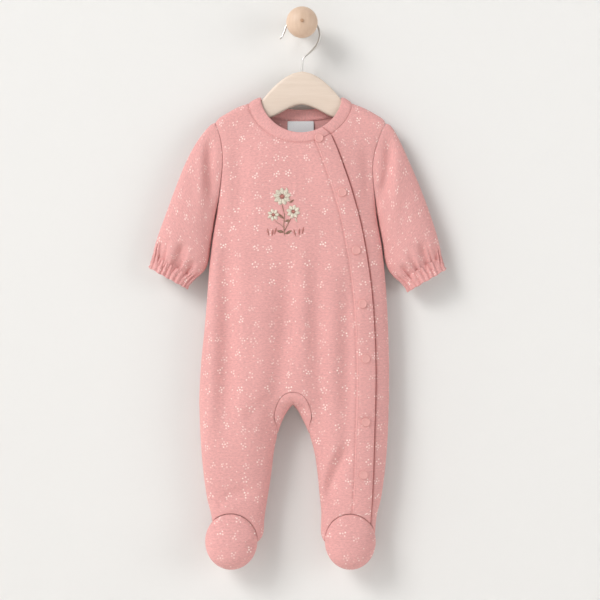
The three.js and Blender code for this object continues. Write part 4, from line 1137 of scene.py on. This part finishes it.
def sleeve(arm, nodes):
    """The sleeve's tube with its seam roll and gathers, its two ends turned in."""
    t = np.concatenate([[0, 0.008, 0.02], np.linspace(0.04, 0.8, 30), np.linspace(0.82, 1, 14)])
    v = crowded(84, lo=True, hi=True)
    points, normal = sleeve_tube(arm, v, t)
    around = np.linspace(0, 1, points.shape[1], endpoint=False)[None, :]
    sink = 0.5 * np.exp(-t[:, None] * 110 / 1.5) + gathers(around, t[:, None])
    points = points - normal * sink[..., None]
    patch = turn_in((points, normal, cut_map(points, 30)), top=True, bottom=True)
    mesh = join_patches("sleeve_" + arm + "_cloth", [patch], around=True)
    return cloth_wall(place(mesh, jersey, nodes), 1.3)


sleeves = {arm: sleeve(arm, ["sleeve_" + arm]) for arm in ("left", "right")}
print("sleeves:", [round(cloth_area(piece), 4) for piece in sleeves.values()], "m2")

# %% [markdown]
# ## Gathered cuffs
# Elastic inside the cuff draws the cloth into small upright ribs. They are uneven, tight
# where the elastic runs and flaring into a soft frill at the open edge. A wave carried
# round the tube gives them, with its phase and size varied by slower waves.

# %% Cuffs
def cuff(arm, nodes):
    """The tube moved out by an uneven wave: round ribs with sharp troughs between."""
    t = np.linspace(0.95, 2, 15)
    v = (1 - np.cos(np.linspace(0, np.pi, 110))) / 2
    points, normal = sleeve_tube(arm, v, t)
    around = np.linspace(0, 2 * np.pi, points.shape[1], endpoint=False)[None, :]
    down = t[:, None] - 1
    phase = 23 * around + 1.1 * np.sin(3 * around + 1) + 0.8 * np.sin(5 * around)
    phase = phase + 0.7 * np.sin(2 * around + 2) * down
    size = 1.0 + 0.3 * np.sin(4 * around + 2) + 0.25 * np.sin(7 * around)
    wave = 2 * np.abs(np.sin(phase / 2)) ** 1.2 - 1
    tuck = -1.6 * (1 - smooth(-0.05, 0.12, down))
    grip = -0.7 * np.sin(np.pi * np.clip(down, 0, 1)) - 0.8 * smooth(0.85, 1, down)
    offset = 1.6 * size * wave * (0.85 + 0.15 * np.cos(2 * np.pi * down)) + tuck + grip
    points = points + normal * offset[..., None]
    points[..., 2] += 0.5 * np.sin(phase * 0.5) * smooth(0.5, 1, down)
    patch = turn_in((points, normal, cut_map(points, 54)), top=True, bottom=True, depths=(0.7, 1.6))
    mesh = join_patches("cuff_" + arm + "_cloth", [patch], around=True)
    return cloth_wall(place(mesh, jersey, nodes), 0.9)


cuffs = {arm: cuff(arm, ["cuff_" + arm]) for arm in ("left", "right")}
print("cuffs:", [round(cloth_area(piece), 4) for piece in cuffs.values()], "m2")

# %% [markdown]
# ## Feet
# Each foot has a round upper, eased into the seam round the front of the ankle, and a sole
# behind. Both are caps: rings shrink from the seam to a centre, while the depth swells.

# %% Foot uppers and soles
def foot_cap(side, centre, x, z, depth, height, rings=16):
    """Rings from the centre out to the seam: depth blends from height down to the seam's."""
    away = -1 if side == "front" else 1
    r = np.sin(np.linspace(0, np.pi / 2, rings))[:, None]
    rise = (1 - r**2.2) ** (1 / 2.2)
    px, pz = mix(centre[0], x[None, :], r), mix(centre[1], z[None, :], r)
    out = mix(depth[None, :], height, rise) - 0.5 * np.exp(-(1 - r) * 18)
    py = middle_y(pz) + away * (0.2 + np.maximum(out, 0))
    points = np.stack([px, py, pz], -1)
    middle = np.array([centre[0], HANG_Y + away * height * 0.4, centre[1]])
    normal = unit(points - middle)
    flat = np.stack([px, pz], -1)
    return points, normal, flat


def around_toe(foot, start, end, count=64):
    """The free part of a foot's outline, by way of the toe, without its corners."""
    angle = np.radians(np.linspace(start, end, count + 1)[1:-1])
    return foot["x"] + foot["rx"] * 0.994 * np.cos(angle), foot["z"] + foot["rz"] * 0.994 * np.sin(angle)


def vamp(foot, start, end, toe, name, node):
    """The upper: its seam lies on the leg's own depth, its free edge on the middle plane."""
    angle = np.radians(np.linspace(start, end, 60))
    x = foot["x"] + foot["rx"] * 0.994 * np.cos(angle)
    z = foot["z"] + foot["rz"] * 0.994 * np.sin(angle)
    share = np.linspace(0, 1, len(x))
    depth = body_depth("front", x, z) * smooth(0, 0.09, share) * smooth(0, 0.09, 1 - share)
    toe_x, toe_z = around_toe(foot, *toe)
    boundary = np.append(x, toe_x), np.append(z, toe_z), np.append(depth, 0 * toe_x)
    patch = foot_cap("front", (foot["x"], foot["z"]), *boundary, 25)
    mesh = join_patches(name, [turn_in(patch, bottom=True)], around=True)
    return cloth_wall(place(mesh, jersey, [node]), 1.3)


def sole(foot, start, end, toe, name, node):
    """The sole: from the heel seam round to the toe."""
    x, z = heel_edge(foot, start, end, -0.2)(np.linspace(0, 1, 40))
    share = np.linspace(0, 1, len(x))
    depth = body_depth("back", x, z) * smooth(0, 0.09, share) * smooth(0, 0.09, 1 - share)
    toe_x, toe_z = around_toe(foot, *toe)
    boundary = np.append(x, toe_x), np.append(z, toe_z), np.append(depth, 0 * toe_x)
    patch = foot_cap("back", (foot["x"], foot["z"] - 10), *boundary, 13)
    mesh = join_patches(name, [turn_in(patch, bottom=True)], around=True)
    return cloth_wall(place(mesh, jersey, [node]), 1.3)


feet = [
    vamp(FOOT_LEFT, 138, -2, (-2, -222), "foot_upper_left", "vamp_left"),
    vamp(FOOT_RIGHT, 182, 15, (15, -178), "foot_upper_right", "vamp_right"),
    sole(FOOT_LEFT, 138, -2, (-2, -222), "foot_sole_left", "sole_left"),
    sole(FOOT_RIGHT, 182, 15, (15, -178), "foot_sole_right", "sole_right"),
]
print("feet:", [round(cloth_area(piece), 4) for piece in feet], "m2")

# %% [markdown]
# ## Threads
# Topstitching and embroidery are the same thing at two scales: short lengths of thread
# that rise from the cloth and dive back in. Each is a little tube of a few rings, thin at
# its ends, and one call makes hundreds of them as a single mesh.

# %% Many small tubes at once
def threads(name, paths, up, radius, material, sides=5):
    """Tubes along paths (thread, step, xyz): rings at right angles to the way they run."""
    count, steps = paths.shape[:2]
    way = unit(np.gradient(paths, axis=1))
    across = unit(np.cross(way, up))
    lift = np.cross(across, way)
    turn = np.linspace(0, 2 * np.pi, sides, endpoint=False)
    share = np.linspace(0, 1, steps)
    thin = 0.35 + 0.65 * np.sin(np.pi * share) ** 0.5
    size = (radius * thin)[None, :, None, None]
    cos, sin = np.cos(turn)[:, None], np.sin(turn)[:, None]
    ring = cos * across[:, :, None] + sin * lift[:, :, None]
    points = (paths[:, :, None] + size * ring).reshape(-1, 3)
    quads = grid_faces(steps, sides, True)
    first = np.arange(count)[:, None] * steps * sides
    body = (quads[None] + first[..., None]).reshape(-1, 4)
    start = np.arange(sides)[None, :] + first
    finish = np.arange(sides)[None, ::-1] + (steps - 1) * sides + first
    faces = body.tolist() + start.tolist() + finish.tolist()
    mesh = bpy.data.meshes.new(name)
    mesh.from_pydata((points * MM).tolist(), [], faces)
    work = bmesh.new()
    work.from_mesh(mesh)
    bmesh.ops.recalc_face_normals(work, faces=work.faces)
    work.to_mesh(mesh)
    work.free()
    mesh.shade_smooth()
    return place(mesh, material)


def stitch_paths(curve, normals, length=2.3, pitch=3.1, height=0.22, steps=5):
    """Stitches of one length at an even pitch along a curve, each a low arch."""
    run = np.concatenate([[0], np.cumsum(np.linalg.norm(np.diff(curve, axis=0), axis=-1))])
    starts = np.arange(pitch / 2, run[-1] - length, pitch)
    share = np.linspace(0, 1, steps)
    where = starts[:, None] + share[None, :] * length
    path = np.stack([np.interp(where, run, curve[:, k]) for k in range(3)], -1)
    up = unit(np.stack([np.interp(where, run, normals[:, k]) for k in range(3)], -1))
    arch = height * (1 - (2 * share - 1) ** 2) - 0.05
    return path + up * arch[None, :, None], up


def thread_finish(name, tint, roughness=0.6):
    """Twisted thread: fine diagonal ridges of the twist, with painted shade in the grooves between them.
    """
    recipe = Recipe(name)
    x, y, z = recipe.place()
    twist = recipe.maths("SINE", (x + z) * 9.0 + y * 4.0) * 0.5 + 0.5
    # Painted shade: the colour is darker where the twist's height is lowest, in the grooves.
    base = recipe.blend(twist, srgb(*[c * 0.88 for c in tint]), srgb(*tint))
    return recipe.finish(base, twist * 0.1 + roughness, twist, 0.08)


pink_thread = thread_finish("pink sewing thread", (240, 186, 181))

# %% Topstitching
z_line = np.linspace(-146, -628, 500)
lines = {}
lines["placket"] = on_upper(placket_line(z_line) + 2.2, z_line, 0.35)
lines["closure"] = on_upper(closure(z_line) - 2.0, z_line, 0.8)
bar_x = np.linspace(68.5, 89.5, 30)
lines["placket_bar"] = on_upper(bar_x, BAR_Z + 0 * bar_x, 0.45)
around_neck = np.concatenate([np.linspace(closure_angle + 2, 179, 200), np.linspace(181, 359, 160)])
for name, v in (("neck", -0.13), ("neck_twin", -0.24)):
    shown = around_neck if name == "neck" else np.linspace(closure_angle + 2, 72, 60)
    x, z = neck_point(shown, v)
    lines[name] = bound(x, z, shown, 0.05)
for leg in ("left", "right"):
    s = np.linspace(0.02, 0.93, 60)
    z = GUSSET_TOP - 53 * s**2
    x = arch_x(leg, z, 2.2)
    lines["gusset_" + leg] = on_upper(x, z + 2.0 * (1 - s), 0.05)
paths, ups = zip(*(stitch_paths(*line) for line in lines.values()))
topstitching = threads(
    "topstitching", np.concatenate(paths), np.concatenate(ups), 0.24, pink_thread,
)
print("topstitches:", sum(len(p) for p in paths))

# %% [markdown]
# ## An embroidered sprig
# On the chest sits a small embroidery in cream, sage brown and dusty rose, about 3 by 6 cm.
# Here it is a sprig of daisies with leaves. Satin stitch fills each petal: side by side
# threads that cross its width, wide in the middle and narrow at its ends.

# %% Satin stitch
def satin(start, end, width, count, lean=0.25, height=0.9):
    """Threads across a petal from start to end: each half as long as the petal is wide there."""
    start, end = np.array(start, float), np.array(end, float)
    way = (end - start) / np.linalg.norm(end - start)
    side = np.array([-way[1], way[0]])
    s = (np.arange(count) + 0.5) / count
    half = width / 2 * np.sin(np.pi * np.clip(s, 0.04, 0.96)) ** 0.6
    across = np.linspace(-1, 1, 5)
    middle = start + (end - start) * s[:, None]
    flat = middle[:, None] + (side + lean * way) * (across[None, :] * half[:, None])[..., None]
    arch = height * (1 - across**2)[None, :] * np.minimum(1, half[:, None] / 2) + 0.05
    return flat, arch


def stem(points, count=26):
    """Stem stitch: short overlapping slanted threads along a curve."""
    points = np.array(points, float)
    at = np.linspace(0, 1, len(points))
    s = np.linspace(0, 0.93, count)
    share = s[:, None] + np.linspace(0, 0.07, 5)[None, :]
    flat = np.stack([np.interp(share, at, points[:, k]) for k in range(2)], -1)
    flat[..., 0] += np.linspace(-0.25, 0.25, 5)
    return flat, np.broadcast_to(0.45 * (1 - np.linspace(-1, 1, 5) ** 2) + 0.05, share.shape)


def daisy(x, z, radius, petals, turn):
    """Petals of satin stitch round a middle."""
    angle = np.radians(turn) + np.linspace(0, 2 * np.pi, petals, endpoint=False)
    ray = np.stack([np.cos(angle), np.sin(angle)], -1)
    inner, outer = np.array([x, z]) + ray * radius * 0.28, np.array([x, z]) + ray * radius
    return [satin(a, b, radius * 0.6, 13) for a, b in zip(inner, outer)]


def embroider(name, shapes, material):
    """Lay threads given in the front view on the chest."""
    flat = np.concatenate([shape[0] for shape in shapes])
    arch = np.concatenate([np.broadcast_to(shape[1], shape[0].shape[:2]) for shape in shapes])
    points, up = on_upper(flat[..., 0], flat[..., 1], arch + 0.1)
    return threads(name, points, up, 0.36, material)


cream = thread_finish("cream embroidery thread", (246, 236, 218), 0.5)
sage = thread_finish("sage brown embroidery thread", (168, 138, 116), 0.55)
rose = thread_finish("dusty rose embroidery thread", (206, 138, 128), 0.55)
sprig_cream = embroider(
    "sprig_petals",
    daisy(-25, -219, 11, 9, 10) + daisy(-11, -238, 8.5, 8, 30) + daisy(-36, -242, 7.5, 7, 0)
    + [satin((-20, -207.5), (-17.5, -213), 2.6, 8), satin((-6.5, -251), (-8.5, -245.5), 2.4, 8)],
    cream,
)
DAISY_MIDDLES = ((-25, -219, 2.9, 10), (-11, -238, 2.3, 8), (-36, -242, 2.0, 7))
sprig_middles = embroider(
    "sprig_middles",
    [satin((x - r, z), (x + r, z), 2 * r, n, 0, 1.3) for x, z, r, n in DAISY_MIDDLES],
    rose,
)
sprig_leaves = embroider(
    "sprig_leaves",
    [
        stem([(-22, -268), (-23, -255), (-22, -242), (-25, -229.5)]),
        stem([(-22, -262), (-18, -254), (-13, -244.5)], 14),
        stem([(-22.5, -258), (-29, -253), (-34, -249.5)], 12),
        satin((-23, -247), (-31, -240), 3.6, 13),
        satin((-21.5, -250), (-15, -249), 3.2, 11),
        satin((-23, -264), (-31, -262), 3.6, 13),
        satin((-21, -266), (-13, -262), 3.6, 13),
        satin((-16, -227), (-10, -223), 2.6, 9),
    ],
    sage,
)
sprig_rose = embroider(
    "sprig_ground",
    [satin((x, -269 + rise), (x + lean, -260 + rise), 2.4, 10) for x, rise, lean in (
        (-42, 1, -1.5), (-38, 0, 1.5), (-35, 2, 3), (-8, 0, -2.5), (-4, 1, 1), (0, 2.5, 2))],
    rose,
)
print("sprig:", [piece.name for piece in (sprig_cream, sprig_middles, sprig_leaves, sprig_rose)])

# %% [markdown]
# ## Snaps
# Seven pressed snaps close the front. What shows is a low cap in matching pink enamel: a
# rounded rim round a dished middle. A profile turned round an axis gives it, and the axis
# is the outward direction of the facing.

# %% Snap caps
SNAPS = table(
    "z x",
    (-145.4, 21.4),
    (-213.6, 50.4),
    (-286.4, 68),
    (-353.8, 76),
    (-422.9, 80),
    (-502.3, 80),
    (-568.7, 77.4),
)
CAP = table(
    "radius height",
    (0, 1.2), (1.4, 1.22), (2.8, 1.26), (3.6, 1.38), (4.1, 1.58), (4.6, 1.7), (5.0, 1.66),
    (5.4, 1.4), (5.65, 0.9), (5.75, 0.4), (5.6, 0.0), (4.9, 0.0), (2.5, 0.0), (0, 0.0),
)


def enamel():
    """Matching pink enamel: glossy, with the faint unevenness of a pressed cap."""
    recipe = Recipe("pink snap enamel")
    x, y, z = recipe.place()
    speck = recipe.noise(recipe.vector(x, y, z), 0.6, 3.0)
    base = recipe.blend(speck, srgb(220, 158, 153), srgb(231, 173, 168))
    return recipe.finish(base, speck * 0.15 + 0.42, speck, 0.05, **{"Coat Weight": 0.1})


def snap_caps(sides=36):
    """Every cap in one mesh: rings of the profile in each snap's own frame."""
    centre, normal = on_upper(SNAPS["x"], SNAPS["z"], 0.9)
    side = unit(np.cross(normal, np.array([0.0, 0.0, 1.0])))
    rise = np.cross(side, normal)
    turn = np.linspace(0, 2 * np.pi, sides, endpoint=False)
    radius, height = CAP["radius"][:, None, None], CAP["height"][:, None, None]
    patches = []
    for c, n, s, r in zip(centre, normal, side, rise):
        ring = np.cos(turn)[None, :, None] * s + np.sin(turn)[None, :, None] * r
        points = c + radius * ring + height * n
        outward = points - (c + n)
        patches.append((points, outward, points[..., [0, 2]]))
    return join_patches("snap_caps", patches, around=True)


snaps = place(snap_caps(), enamel(), ["snap_%d" % i for i in range(1, 8)])
print("snaps:", len(SNAPS["x"]), "caps")

# %% [markdown]
# ## The neck label
# A plain woven label hangs inside the back of the neck. It is satin, bare, and curls a
# little at its foot.

# %% Label
def satin_label():
    """Woven satin: fine floats across, with painted shade between the floats, and two slightly darker
    selvedges.
    """
    recipe = Recipe("bare satin label")
    u, v = recipe.cut()
    floats = recipe.maths("SINE", v * 12.0 + recipe.maths("SINE", u * 9.0) * 1.2) * 0.5 + 0.5
    edge = recipe.maths("GREATER_THAN", recipe.maths("ABSOLUTE", u), 16.2)
    # Painted shade: the colour is darker where the floats' height is lowest, between them.
    base = recipe.blend(floats, srgb(222, 224, 226), srgb(238, 240, 242))
    base = recipe.blend(edge * 0.5, base, srgb(190, 188, 187))
    return recipe.finish(base, floats * 0.1 + 0.5, floats, 0.05)


s, w = np.linspace(0, 1, 13)[:, None], np.linspace(-17, 17, 19)[None, :]
label_x, label_z = -1.6 + w + 0 * s, -121 - 21 * s + 0 * w
inside = HANG_Y + 0.2 + body_depth("back", -1.6, -121.0) - 2.6
label_y = inside - 0.9 * s**2 - 0.4 * (w / 17) ** 2 * s + 0.25 * np.sin(w / 5) * s
label_points = np.stack([label_x, label_y, label_z], -1)
label_cut = np.stack([w + 0 * s, label_z], -1)
label_patch = label_points, np.broadcast_to([0.0, -1.0, 0.0], label_points.shape), label_cut
label_mesh = join_patches("bare_label", [label_patch])
label = cloth_wall(place(label_mesh, satin_label(), ["neck_label"]), 0.35)
print("label:", round(cloth_area(label) * 1e4, 2), "cm2")

# %% [markdown]
# ## Hanger, hook and peg
# The hanger is sawn from pale wood and rounded over. Its section at each place is a rounded
# rectangle between an upper and a lower curve, so one grid makes it. The hook is a wire
# carried along a path, and the peg is a profile turned on a lathe.

# %% Wood and wire
def wood(name, dark, light, along, stretch=0.05):
    """Straight grain: noise drawn out along the grain, with fine pores, satin lacquer."""
    recipe = Recipe(name)
    axes = recipe.place()
    grain = recipe.vector(*[a * (stretch if k == along else 0.9) for k, a in enumerate(axes)])
    bands = recipe.noise(grain, 0.28, 4.0, 0.55)
    pores = recipe.noise(grain, 2.4, 3.0, 0.6)
    shade = recipe.maths("ADD", bands * 0.9, pores * 0.35 - 0.12, clamp=True)
    base = recipe.blend(shade, srgb(*dark), srgb(*light))
    coat = {"Coat Weight": 0.12, "Coat Roughness": 0.35}
    return recipe.finish(base, pores * 0.12 + 0.42, pores, 0.05, **coat)


def bright_wire():
    """Plated steel wire with faint lines drawn along it."""
    recipe = Recipe("bright plated wire")
    x, y, z = recipe.place()
    lines = recipe.noise(recipe.vector(x * 0.2, y * 3, z * 0.2), 1.0, 3.0)
    base = recipe.blend(lines, srgb(190, 187, 183), srgb(226, 223, 219))
    return recipe.finish(base, lines * 0.12 + 0.28, lines, 0.02, Metallic=1.0)


hanger_wood = wood("pale hanger wood", (212, 192, 174), (234, 218, 204), 0)
peg_wood = wood("turned peg wood", (200, 168, 142), (224, 198, 176), 2, 0.12)
plug_wood = wood("plug wood", (168, 130, 102), (198, 160, 130), 1)

# %% Hanger
HANGER_TOP = table(
    "x z",
    (0, -58.9), (11.9, -61.8), (23.4, -68.1), (34.7, -77.7), (41.4, -84.6), (46, -90),
    (50.5, -95.1), (56, -98.5), (63, -102.8), (72, -107), (82, -111), (90, -115), (98, -120),
)
HANGER_UNDER = table(
    "x z", (0, -101), (7.5, -102.1), (18.8, -106.7), (35.8, -115.6), (60, -124.6), (80, -130), (98, -135)
)


def hanger_mesh():
    """A superellipse section between the two curves, drawn to a rounded end at each side."""
    x = 97.2 * np.sin(np.linspace(-np.pi / 2, np.pi / 2, 121))[:, None]
    turn = np.linspace(0, 2 * np.pi, 48, endpoint=False)[None, :]
    top = through(HANGER_TOP, "x", "z")(np.abs(x))
    under = through(HANGER_UNDER, "x", "z")(np.abs(x))
    end = (1 - np.clip((np.abs(x) - 88) / 9.2, 0, 1) ** 2.4) ** (1 / 2.4)
    cos, sin = np.cos(turn), np.sin(turn)
    y = HANG_Y + 5.9 * np.sign(cos) * np.abs(cos) ** 0.42 * end**0.6
    z = (top + under) / 2 + (top - under) / 2 * np.sign(sin) * np.abs(sin) ** 0.42 * end
    points = np.stack([x + 0 * turn, y, z], -1)
    outward = points - np.stack([x, HANG_Y + 0 * x, (top + under) / 2], -1)
    return join_patches("hanger_arms", [(points, outward, points[..., [0, 2]])], around=True)


hanger = place(hanger_mesh(), hanger_wood, ["hanger_body"])
print("hanger:", len(hanger.data.polygons), "faces")


# %% Hook
turns = np.radians(np.linspace(178, -4, 19))[1:]
EYE_RADIUS, EYE_Z = 22.6, -12.4
SHANK_X = [21.1, 17.4, 10.8, 4.3, 1.4, 0.6, 0.3, 0.2, 0.2]
SHANK_Z = [-20.3, -27.4, -34, -39.2, -42.6, -47.6, -54, -58.5, -62]
hook_x = np.concatenate([[-28.4, -25.2], EYE_RADIUS * np.cos(turns), SHANK_X])
hook_z = np.concatenate([[-17.6, -14.4], EYE_Z + EYE_RADIUS * np.sin(turns), SHANK_Z])


def wire_mesh(radius=1.3, sides=14, steps=260):
    """A round ring carried along a flat path, closed to a point at both ends."""
    rows = {"s": np.arange(len(hook_x), dtype=float), "x": hook_x, "z": hook_z}
    s = np.linspace(0, len(hook_x) - 1, steps)
    x, z = through(rows, "s", "x")(s), through(rows, "s", "z")(s)
    path = np.stack([x, HANG_Y + 0 * x, z], -1)
    way = unit(np.gradient(path, axis=0))
    side = np.stack([-way[:, 2], 0 * x, way[:, 0]], -1)
    run = np.concatenate([[0], np.cumsum(np.linalg.norm(np.diff(path, axis=0), axis=-1))])
    near = np.minimum(run, run[-1] - run) / radius
    size = radius * quarter(near)
    turn = np.linspace(0, 2 * np.pi, sides, endpoint=False)[None, :, None]
    ring = np.cos(turn) * side[:, None] + np.sin(turn) * np.array([0.0, 1.0, 0.0])
    points = path[:, None] + size[:, None, None] * ring
    return join_patches("wire_hook", [(points, ring, points[..., [0, 2]])], around=True)


hook = place(wire_mesh(), bright_wire(), ["hook_wire"])
print("hook:", len(hook.data.polygons), "faces")


# %% Peg and plug
def turned(name, profile, sides=64):
    """A profile of radius and distance out from the wall, turned about the Y axis."""
    radius, out = np.array(profile, float).T
    turn = np.linspace(0, 2 * np.pi, sides, endpoint=False)[None, :]
    r, y = radius[:, None], -out[:, None] + 0 * turn
    points = np.stack([r * np.cos(turn), y, r * np.sin(turn)], -1)
    middle = np.array([0.0, -float(out.mean()), 0.0])
    return join_patches(name, [(points, points - middle, points[..., [0, 2]])], around=True)


ball = np.linspace(np.arcsin(10 / 19.8), np.pi, 30)
peg_profile = (
    [(0, 0), (6, 0), (11.2, 0), (11.8, 0.3), (12, 0.9), (12, 2.9)]
    + [(11.6, 3.5), (10.2, 4.3), (9.2, 5.2), (8.8, 6.6)]
    + [(8.8, out) for out in (10, 16, 22, 27)]
    + [(8.9, 29.2), (9.3, 30.2)]
    + [(19.8 * np.sin(a), 43.5 - 14.5 * np.cos(a)) for a in ball]
)
peg = place(turned("turned_peg", peg_profile), peg_wood, ["wall_peg"])
plug_profile = [(0, 58.2), (2.0, 58.2), (2.2, 58.5), (2.2, 58.9), (1.9, 59.15), (1.2, 59.25), (0, 59.25)]
plug = place(turned("screw_plug", plug_profile, 32), plug_wood, ["peg_plug"])
print("peg and plug made")

# %% [markdown]
# ## The cloth's flat sizes
# A table lists each sheet's size as cut, before it was sewn and hung: the widths and lengths of the
# smallest rectangle round the cut, and the cut's own area where it is given. Each is printed beside the
# area of the made sheet.

# %% Flat sizes
CUTS = [
    (upper_front, 0.27, 0.60, "hung", 0.120),
    (under_front, 0.12, 0.58, "hung", 0.036),
    (back_cloth, 0.28, 0.60, "hung", 0.135),
    (placket, 0.026, 0.52, "hung", 0.0128),
    (gusset, 0.13, 0.06, "hung", 0.0052),
    (binding, 0.34, 0.018, "stretched", None),
    (sleeves["left"], 0.16, 0.20, "hung", 0.0260),
    (sleeves["right"], 0.16, 0.20, "hung", 0.0260),
    (cuffs["left"], 0.17, 0.014, "gathered", None),
    (cuffs["right"], 0.17, 0.014, "gathered", None),
    (feet[0], 0.10, 0.10, "hung", 0.0070),
    (feet[1], 0.10, 0.10, "hung", 0.0070),
    (feet[2], 0.08, 0.08, "hung", 0.0038),
    (feet[3], 0.08, 0.08, "hung", 0.0038),
    (label, 0.034, 0.021, "hung", None),
]
for piece, width, length, held, area in CUTS:
    print(piece.name, "made", round(cloth_area(piece), 4), "cut", area or round(width * length, 4))

# %% [markdown]
# ## Camera, wall and light
# The picture is taken straight from the front with a long lens, so that the suit keeps its
# flat shape. A window and a wide sun light it from the left, and a pale wall catches its
# soft shadow. Seen from behind, the wall and the floor let the view through, so the back
# of the suit can be looked at as well.

# %% Camera
camera = bpy.data.objects.new("camera", bpy.data.cameras.new("camera"))
bpy.context.collection.objects.link(camera)
camera.location = (-0.0025, -2.22, -0.349)
camera.rotation_euler = (np.pi / 2, 0, 0)
camera.data.sensor_width = 36
camera.data.lens = 36 * 2.2 / 0.762
bpy.context.scene.camera = camera


# %% Wall and floor
def paint(name, tint):
    """Matt emulsion with a faint roller texture, open to the view from behind."""
    recipe = Recipe(name)
    x, y, z = recipe.place()
    roller = recipe.noise(recipe.vector(x, y, z), 0.25, 4.0)
    base = recipe.blend(roller, srgb(*[c * 0.995 for c in tint]), srgb(*tint))
    front = recipe.node("ShaderNodeBsdfPrincipled", {}, {"Base Color": base, "Roughness": 0.9})
    clear = recipe.node("ShaderNodeBsdfTransparent")
    behind = recipe.node("ShaderNodeNewGeometry", {}, {}, out="Backfacing")
    shown = recipe.node("ShaderNodeMixShader", {}, {0: behind, 1: front, 2: clear})
    recipe.node("ShaderNodeOutputMaterial", {}, {"Surface": shown})
    return recipe.material


def sheet_of_room(name, corners, tint):
    """One flat sheet of the room through four corners, in metres. It is stage, not a piece."""
    mesh = bpy.data.meshes.new(name)
    mesh.from_pydata(corners, [], [(0, 1, 2, 3)])
    mesh.materials.append(paint(name + " paint", tint))
    room = bpy.data.objects.new(name, mesh)
    bpy.context.collection.objects.link(room)
    return room


SIDE, NEAR, TOP, FLOOR_Z, WALL_Y = 4, -5, 3, -0.95, 0.001
foot_of_wall = [(-SIDE, WALL_Y, FLOOR_Z), (SIDE, WALL_Y, FLOOR_Z)]
top_of_wall = [(SIDE, WALL_Y, TOP), (-SIDE, WALL_Y, TOP)]
near_edge = [(-SIDE, NEAR, FLOOR_Z), (SIDE, NEAR, FLOOR_Z)]
sheet_of_room("wall", foot_of_wall + top_of_wall, (231, 230, 228))
sheet_of_room("floor", near_edge + foot_of_wall[::-1], (240, 238, 235))


# %% Light
def soft_light(kind, name, where, size, energy, tint=(1, 1, 1)):
    """A lamp aimed at the middle of the suit: a square one, or a sun as wide as an angle."""
    lamp = bpy.data.lights.new(name, kind)
    lamp.energy, lamp.color = energy, tint
    if kind == "SUN":
        lamp.angle = size
    else:
        lamp.size = size
    holder = bpy.data.objects.new(name, lamp)
    bpy.context.collection.objects.link(holder)
    holder.location = where
    aim = np.array([0.0, 0.0, -0.35]) - np.array(where)
    holder.rotation_euler = (
        float(np.arctan2(np.hypot(aim[0], aim[1]), -aim[2])), 0.0, float(np.arctan2(-aim[0], aim[1])),
    )


soft_light("AREA", "window", (-3.3, -3.2, 2.5), 2.0, 146, (1.0, 0.995, 0.985))
soft_light("SUN", "side light", (-4.0, -2.3, 1.3), 1.2, 1.25)
soft_light("AREA", "fill", (3.2, -1.9, 0.0), 2.0, 40, (0.99, 0.995, 1.0))
soft_light("AREA", "behind", (0.6, 2.4, 0.6), 2.0, 22)
world = bpy.data.worlds.new("room light")
world.use_nodes = True
world.node_tree.nodes["Background"].inputs[0].default_value = (1.0, 1.0, 1.0, 1.0)
world.node_tree.nodes["Background"].inputs[1].default_value = 0.24
bpy.context.scene.world = world
bpy.context.scene.view_settings.view_transform = "Standard"
print("camera and light set")
